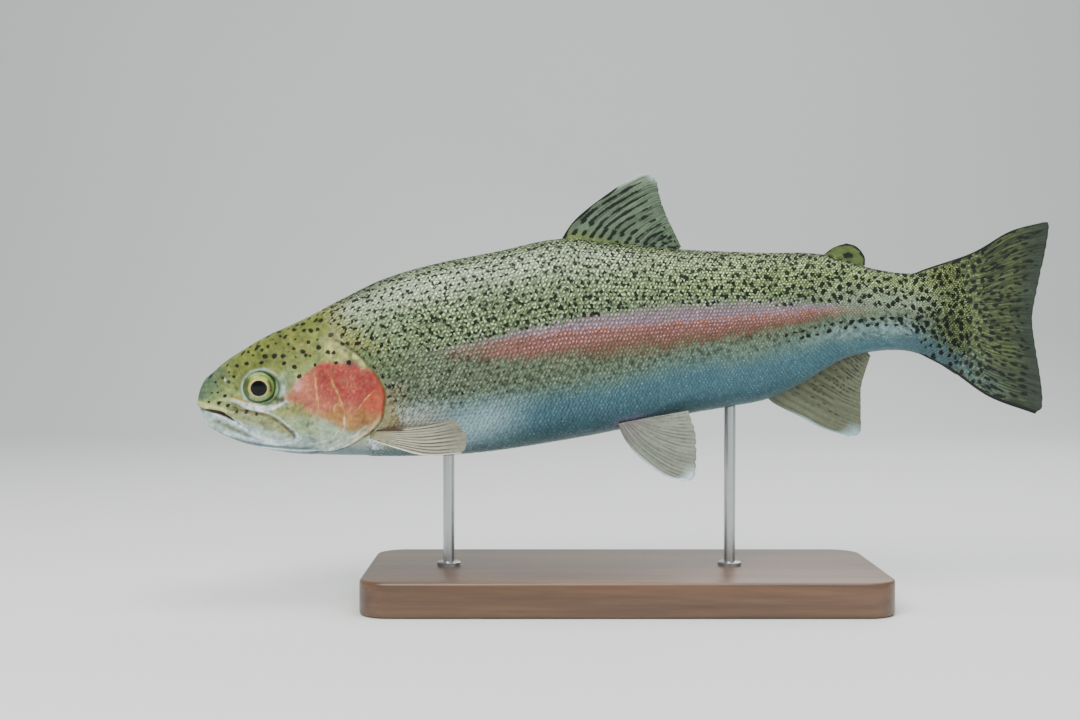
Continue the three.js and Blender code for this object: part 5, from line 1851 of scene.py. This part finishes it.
def wood_material(colour):
    """Oiled walnut: long grain along the base with pores, satin."""
    nodes = Nodes("Oiled walnut")
    stretched = nodes.add("Mapping", {"Vector": nodes.place(), "Scale": (0.06, 1.0, 1.0)})[0]
    grain = nodes.noise(stretched, 330.0, 6.0, Roughness=0.62)
    figure = nodes.noise(stretched, 55.0, 3.0, Distortion=0.8)
    both = nodes.math("MULTIPLY_ADD", grain, 0.6, figure)
    tint = nodes.add("RGB")[0]
    tint.default_value = tuple(colour) + (1,)
    return nodes.finish(
        Base_Color=nodes.scaled(tint, nodes.remap(both, 0.55, 1.05, 0.45, 1.5)),
        Roughness=0.38,
        Normal=nodes.bumps(grain, 0.2, 0.2 * MM),
        Coat_Weight=0.15,
        Coat_Roughness=0.3,
    )


def steel_material():
    """Brushed stainless steel, brushed round the rod."""
    nodes = Nodes("Brushed stainless steel")
    stretched = nodes.add("Mapping", {"Vector": nodes.place(), "Scale": (1.0, 1.0, 12.0)})[0]
    brush = nodes.noise(stretched, 260.0, 4.0)
    return nodes.finish(
        Base_Color=to_linear("#b9bcbe") + (1,), Metallic=1.0,
        Roughness=nodes.remap(brush, 0.0, 1.0, 0.22, 0.4),
    )


BASE_CORNER = 16 * MM
BASE_EASE = 1.8 * MM
SHARP_ANGLE = math.radians(35)
# The collar at a rod's foot: its radius against the rod's, and the height over the base in mm.
COLLAR = [(1.0, 0), (2.1, 0), (2.1, 1.6), (1.9, 2.0), (1.06, 2.0), (1.0, 2.1)]


class TROUT_OT_stand(bpy.types.Operator):
    """Makes the wooden base and the two steel rods"""

    bl_idname = "trout.stand"
    bl_label = "Stand"

    def execute(self, context):
        self.make_base(context)
        steel = steel_material()
        for end in ("front", "rear"):
            self.make_rod(context, end, steel)
        return {"FINISHED"}

    def make_base(self, context):
        """A box with round corners as seen from above, and all its edges eased."""
        low, high = (np.array(corner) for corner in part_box("stand_base"))
        bpy.ops.object.select_all(action="DESELECT")
        bpy.ops.mesh.primitive_cube_add(size=1, location=(low + high) / 2)
        base = context.object
        base.name = "wooden_base"
        base.scale = high - low
        bpy.ops.object.transform_apply(location=True, rotation=True, scale=True)
        bpy.ops.object.mode_set(mode="EDIT")
        bpy.ops.mesh.select_mode(type="EDGE")
        bpy.ops.mesh.select_all(action="DESELECT")
        bpy.ops.object.mode_set(mode="OBJECT")
        for edge in base.data.edges:
            a, b = (base.data.vertices[k].co for k in edge.vertices)
            edge.select = bool(abs(a.z - b.z) > 0.5 * (high[2] - low[2]))
        bpy.ops.object.mode_set(mode="EDIT")
        bpy.ops.mesh.bevel(offset=BASE_CORNER, segments=10, affect="EDGES")
        bpy.ops.mesh.select_all(action="DESELECT")
        bpy.ops.object.mode_set(mode="OBJECT")
        eased = base.modifiers.new("Eased edges", "BEVEL")
        eased.width = BASE_EASE
        eased.segments = 4
        eased.limit_method = "ANGLE"
        eased.angle_limit = math.radians(50)
        bpy.ops.object.modifier_apply(modifier=eased.name)
        bpy.ops.object.shade_smooth_by_angle(angle=SHARP_ANGLE)
        base.data.materials.append(wood_material(context.scene.trout_colours.wood))
        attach(base, "root")
        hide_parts("stand_base")

    def make_rod(self, context, end, steel):
        """A rod with a small collar on the base, cut off above where it meets the belly."""
        radius = context.scene.trout_sizes.rod_radius
        low, high = (np.array(corner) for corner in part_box(f"stand_rod_{end}"))
        middle, floor, steps = (low[0] + high[0]) / 2, low[2], 40
        angle = np.arange(steps) / steps * 2 * np.pi
        x, y = radius * np.cos(angle), radius * np.sin(angle)
        tries = np.linspace(-0.25, -0.12, 400)
        tops = []
        for a, side in zip((middle + x - FISH_X) / PERCENT, np.abs(y) / PERCENT):
            section = body_surface(a, tries)
            tops.append(np.interp(side, -section[:, 1], section[:, 2]))
        tops = np.array(tops) * PERCENT + FISH_Z - 0.05 * MM
        rings = [(size, np.full(steps, floor + height * MM)) for size, height in COLLAR]
        rings += [(1.0, tops - 0.35 * MM), (0.9, tops)]
        points = np.array(
            [np.stack([middle + x * size, y * size, heights], -1) for size, heights in rings]
        )
        ends = [[middle, 0, floor], [middle, 0, tops.mean()]]
        vertices = np.vstack([points.reshape(-1, 3), ends])
        sides = np.roll(tube_faces(len(rings), steps)[:, ::-1], 1, axis=1)
        bottom, top = len(rings) * steps, (len(rings) - 1) * steps
        lids = []
        for k in range(steps):
            lids.append((bottom, (k + 1) % steps, k))
        for k in range(steps):
            lids.append((bottom + 1, top + k, top + (k + 1) % steps))
        mesh = bpy.data.meshes.new(f"steel_rod_{end}")
        mesh.from_pydata(vertices.tolist(), [], sides.tolist() + lids)
        rod = bpy.data.objects.new(f"steel_rod_{end}", mesh)
        context.scene.collection.objects.link(rod)
        face_outwards(rod)
        bpy.ops.object.shade_smooth_by_angle(angle=SHARP_ANGLE)
        rod.data.materials.append(steel)
        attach(rod, "root")
        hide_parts(f"stand_rod_{end}")


# The studio, in metres: a sheet of paper that bends up behind the fish, the lamps and the camera.
SWEEP_WIDTH = 3.0  # to each side
SWEEP_NEAR = -2.2
SWEEP_BEND = 1.1
SWEEP_RADIUS = 0.6
SWEEP_HEIGHT = 2.4
SKY_COLOUR = (0.9, 0.95, 1.0, 1)
SKY_STRENGTH = 0.3
LAMPS_AIM = (-0.02, 0.0, 0.13)
LAMPS = (  # name, place, size, power in watts, colour
    ("Key", (-0.5, -0.85, 1.15), 0.8, 24.0, (1.0, 0.98, 0.94)),
    ("Top", (0.2, -0.1, 1.5), 1.1, 24.0, (0.97, 1.0, 0.97)),
    ("Fill", (0.9, -1.3, 0.5), 1.4, 5.0, (0.9, 0.96, 1.0)),
    ("Rim", (0.5, 1.0, 0.9), 0.9, 6.0, (1.0, 1.0, 1.0)),
)
CAMERA_AIM = (-0.0439, 0.0, 0.1268)
CAMERA_PITCH = math.radians(1.5)


class TROUT_OT_stage(bpy.types.Operator):
    """Sets the pale floor, the soft studio lights and the camera"""

    bl_idname = "trout.stage"
    bl_label = "Stage"

    def execute(self, context):
        floor = tuple(context.scene.trout_colours.floor) + (1,)
        paper = Nodes("Pale studio paper").finish(Base_Color=floor, Roughness=0.75)
        profile = [(SWEEP_NEAR, 0.0), (SWEEP_BEND, 0.0)]
        for k in range(1, 13):
            angle = k / 12 * math.pi / 2
            back = SWEEP_BEND + SWEEP_RADIUS * math.sin(angle)
            profile.append((back, SWEEP_RADIUS * (1 - math.cos(angle))))
        profile.append((SWEEP_BEND + SWEEP_RADIUS, SWEEP_HEIGHT))
        vertices = [(x, y, z) for y, z in profile for x in (-SWEEP_WIDTH, SWEEP_WIDTH)]
        faces = [(2 * k, 2 * k + 1, 2 * k + 3, 2 * k + 2) for k in range(len(profile) - 1)]
        sweep = make_mesh("studio_sweep", np.array(vertices), np.array(faces))
        sweep.data.materials.append(paper)
        self.light(context)
        self.aim_camera(context)
        return {"FINISHED"}

    def light(self, context):
        """An even, cool sky and four square lamps that point at the fish."""
        world = bpy.data.worlds.new("Soft studio")
        world.use_nodes = True
        sky = world.node_tree.nodes["Background"]
        sky.inputs[0].default_value = SKY_COLOUR
        sky.inputs[1].default_value = SKY_STRENGTH
        context.scene.world = world
        for name, place, size, power, colour in LAMPS:
            light = bpy.data.lights.new(name, "AREA")
            light.shape = "SQUARE"
            light.size = size
            light.energy = power
            light.color = colour
            lamp = bpy.data.objects.new(name, light)
            lamp.location = place
            lamp.rotation_euler = point_along([LAMPS_AIM[k] - place[k] for k in range(3)])
            context.scene.collection.objects.link(lamp)

    def aim_camera(self, context):
        """A camera beside the fish, a little above its middle."""
        camera = bpy.data.cameras.new("Camera")
        camera.lens = 50
        camera.sensor_width = 36
        camera.clip_start = 0.02
        view = bpy.data.objects.new("Camera", camera)
        distance = context.scene.trout_sizes.camera_distance
        x, y, z = CAMERA_AIM
        away, higher = distance * math.cos(CAMERA_PITCH), distance * math.sin(CAMERA_PITCH)
        view.location = (x, y - away, z + higher)
        view.rotation_euler = (math.radians(90) - CAMERA_PITCH, 0, 0)
        context.scene.collection.objects.link(view)
        context.scene.camera = view


def point_along(direction):
    """Turns that point a lamp's -Z along a direction."""
    x, y, z = direction
    flat = math.hypot(x, y)
    return (math.atan2(flat, -z), 0, math.atan2(y, x) - math.pi / 2)


class TROUT_PT_panel(bpy.types.Panel):
    """Lists the steps that build the trout"""

    bl_idname = "TROUT_PT_panel"
    bl_label = "Trout"
    bl_space_type = "VIEW_3D"
    bl_region_type = "UI"
    bl_category = "Trout"

    def draw(self, context):
        for step in STEPS:
            self.layout.operator(step.bl_idname)
        for name in ("scale_lift", "fin_edge", "rod_radius", "camera_distance"):
            self.layout.prop(context.scene.trout_sizes, name)
        for name in ("wood", "floor"):
            self.layout.prop(context.scene.trout_colours, name)


STEPS = (TROUT_OT_skin, TROUT_OT_scales, TROUT_OT_eyes, TROUT_OT_fins, TROUT_OT_stand, TROUT_OT_stage)
CLASSES = (TroutSizes, TroutColours) + STEPS + (TROUT_PT_panel,)


def register():
    for item in CLASSES:
        bpy.utils.register_class(item)
    bpy.types.Scene.trout_sizes = bpy.props.PointerProperty(type=TroutSizes)
    bpy.types.Scene.trout_colours = bpy.props.PointerProperty(type=TroutColours)


def unregister():
    del bpy.types.Scene.trout_colours
    del bpy.types.Scene.trout_sizes
    for item in reversed(CLASSES):
        bpy.utils.unregister_class(item)


def main():
    register()
    bpy.ops.trout.skin()
    bpy.ops.trout.scales()
    bpy.ops.trout.eyes()
    bpy.ops.trout.fins()
    bpy.ops.trout.stand()
    bpy.ops.trout.stage()
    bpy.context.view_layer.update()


if __name__ == "__main__":
    main()
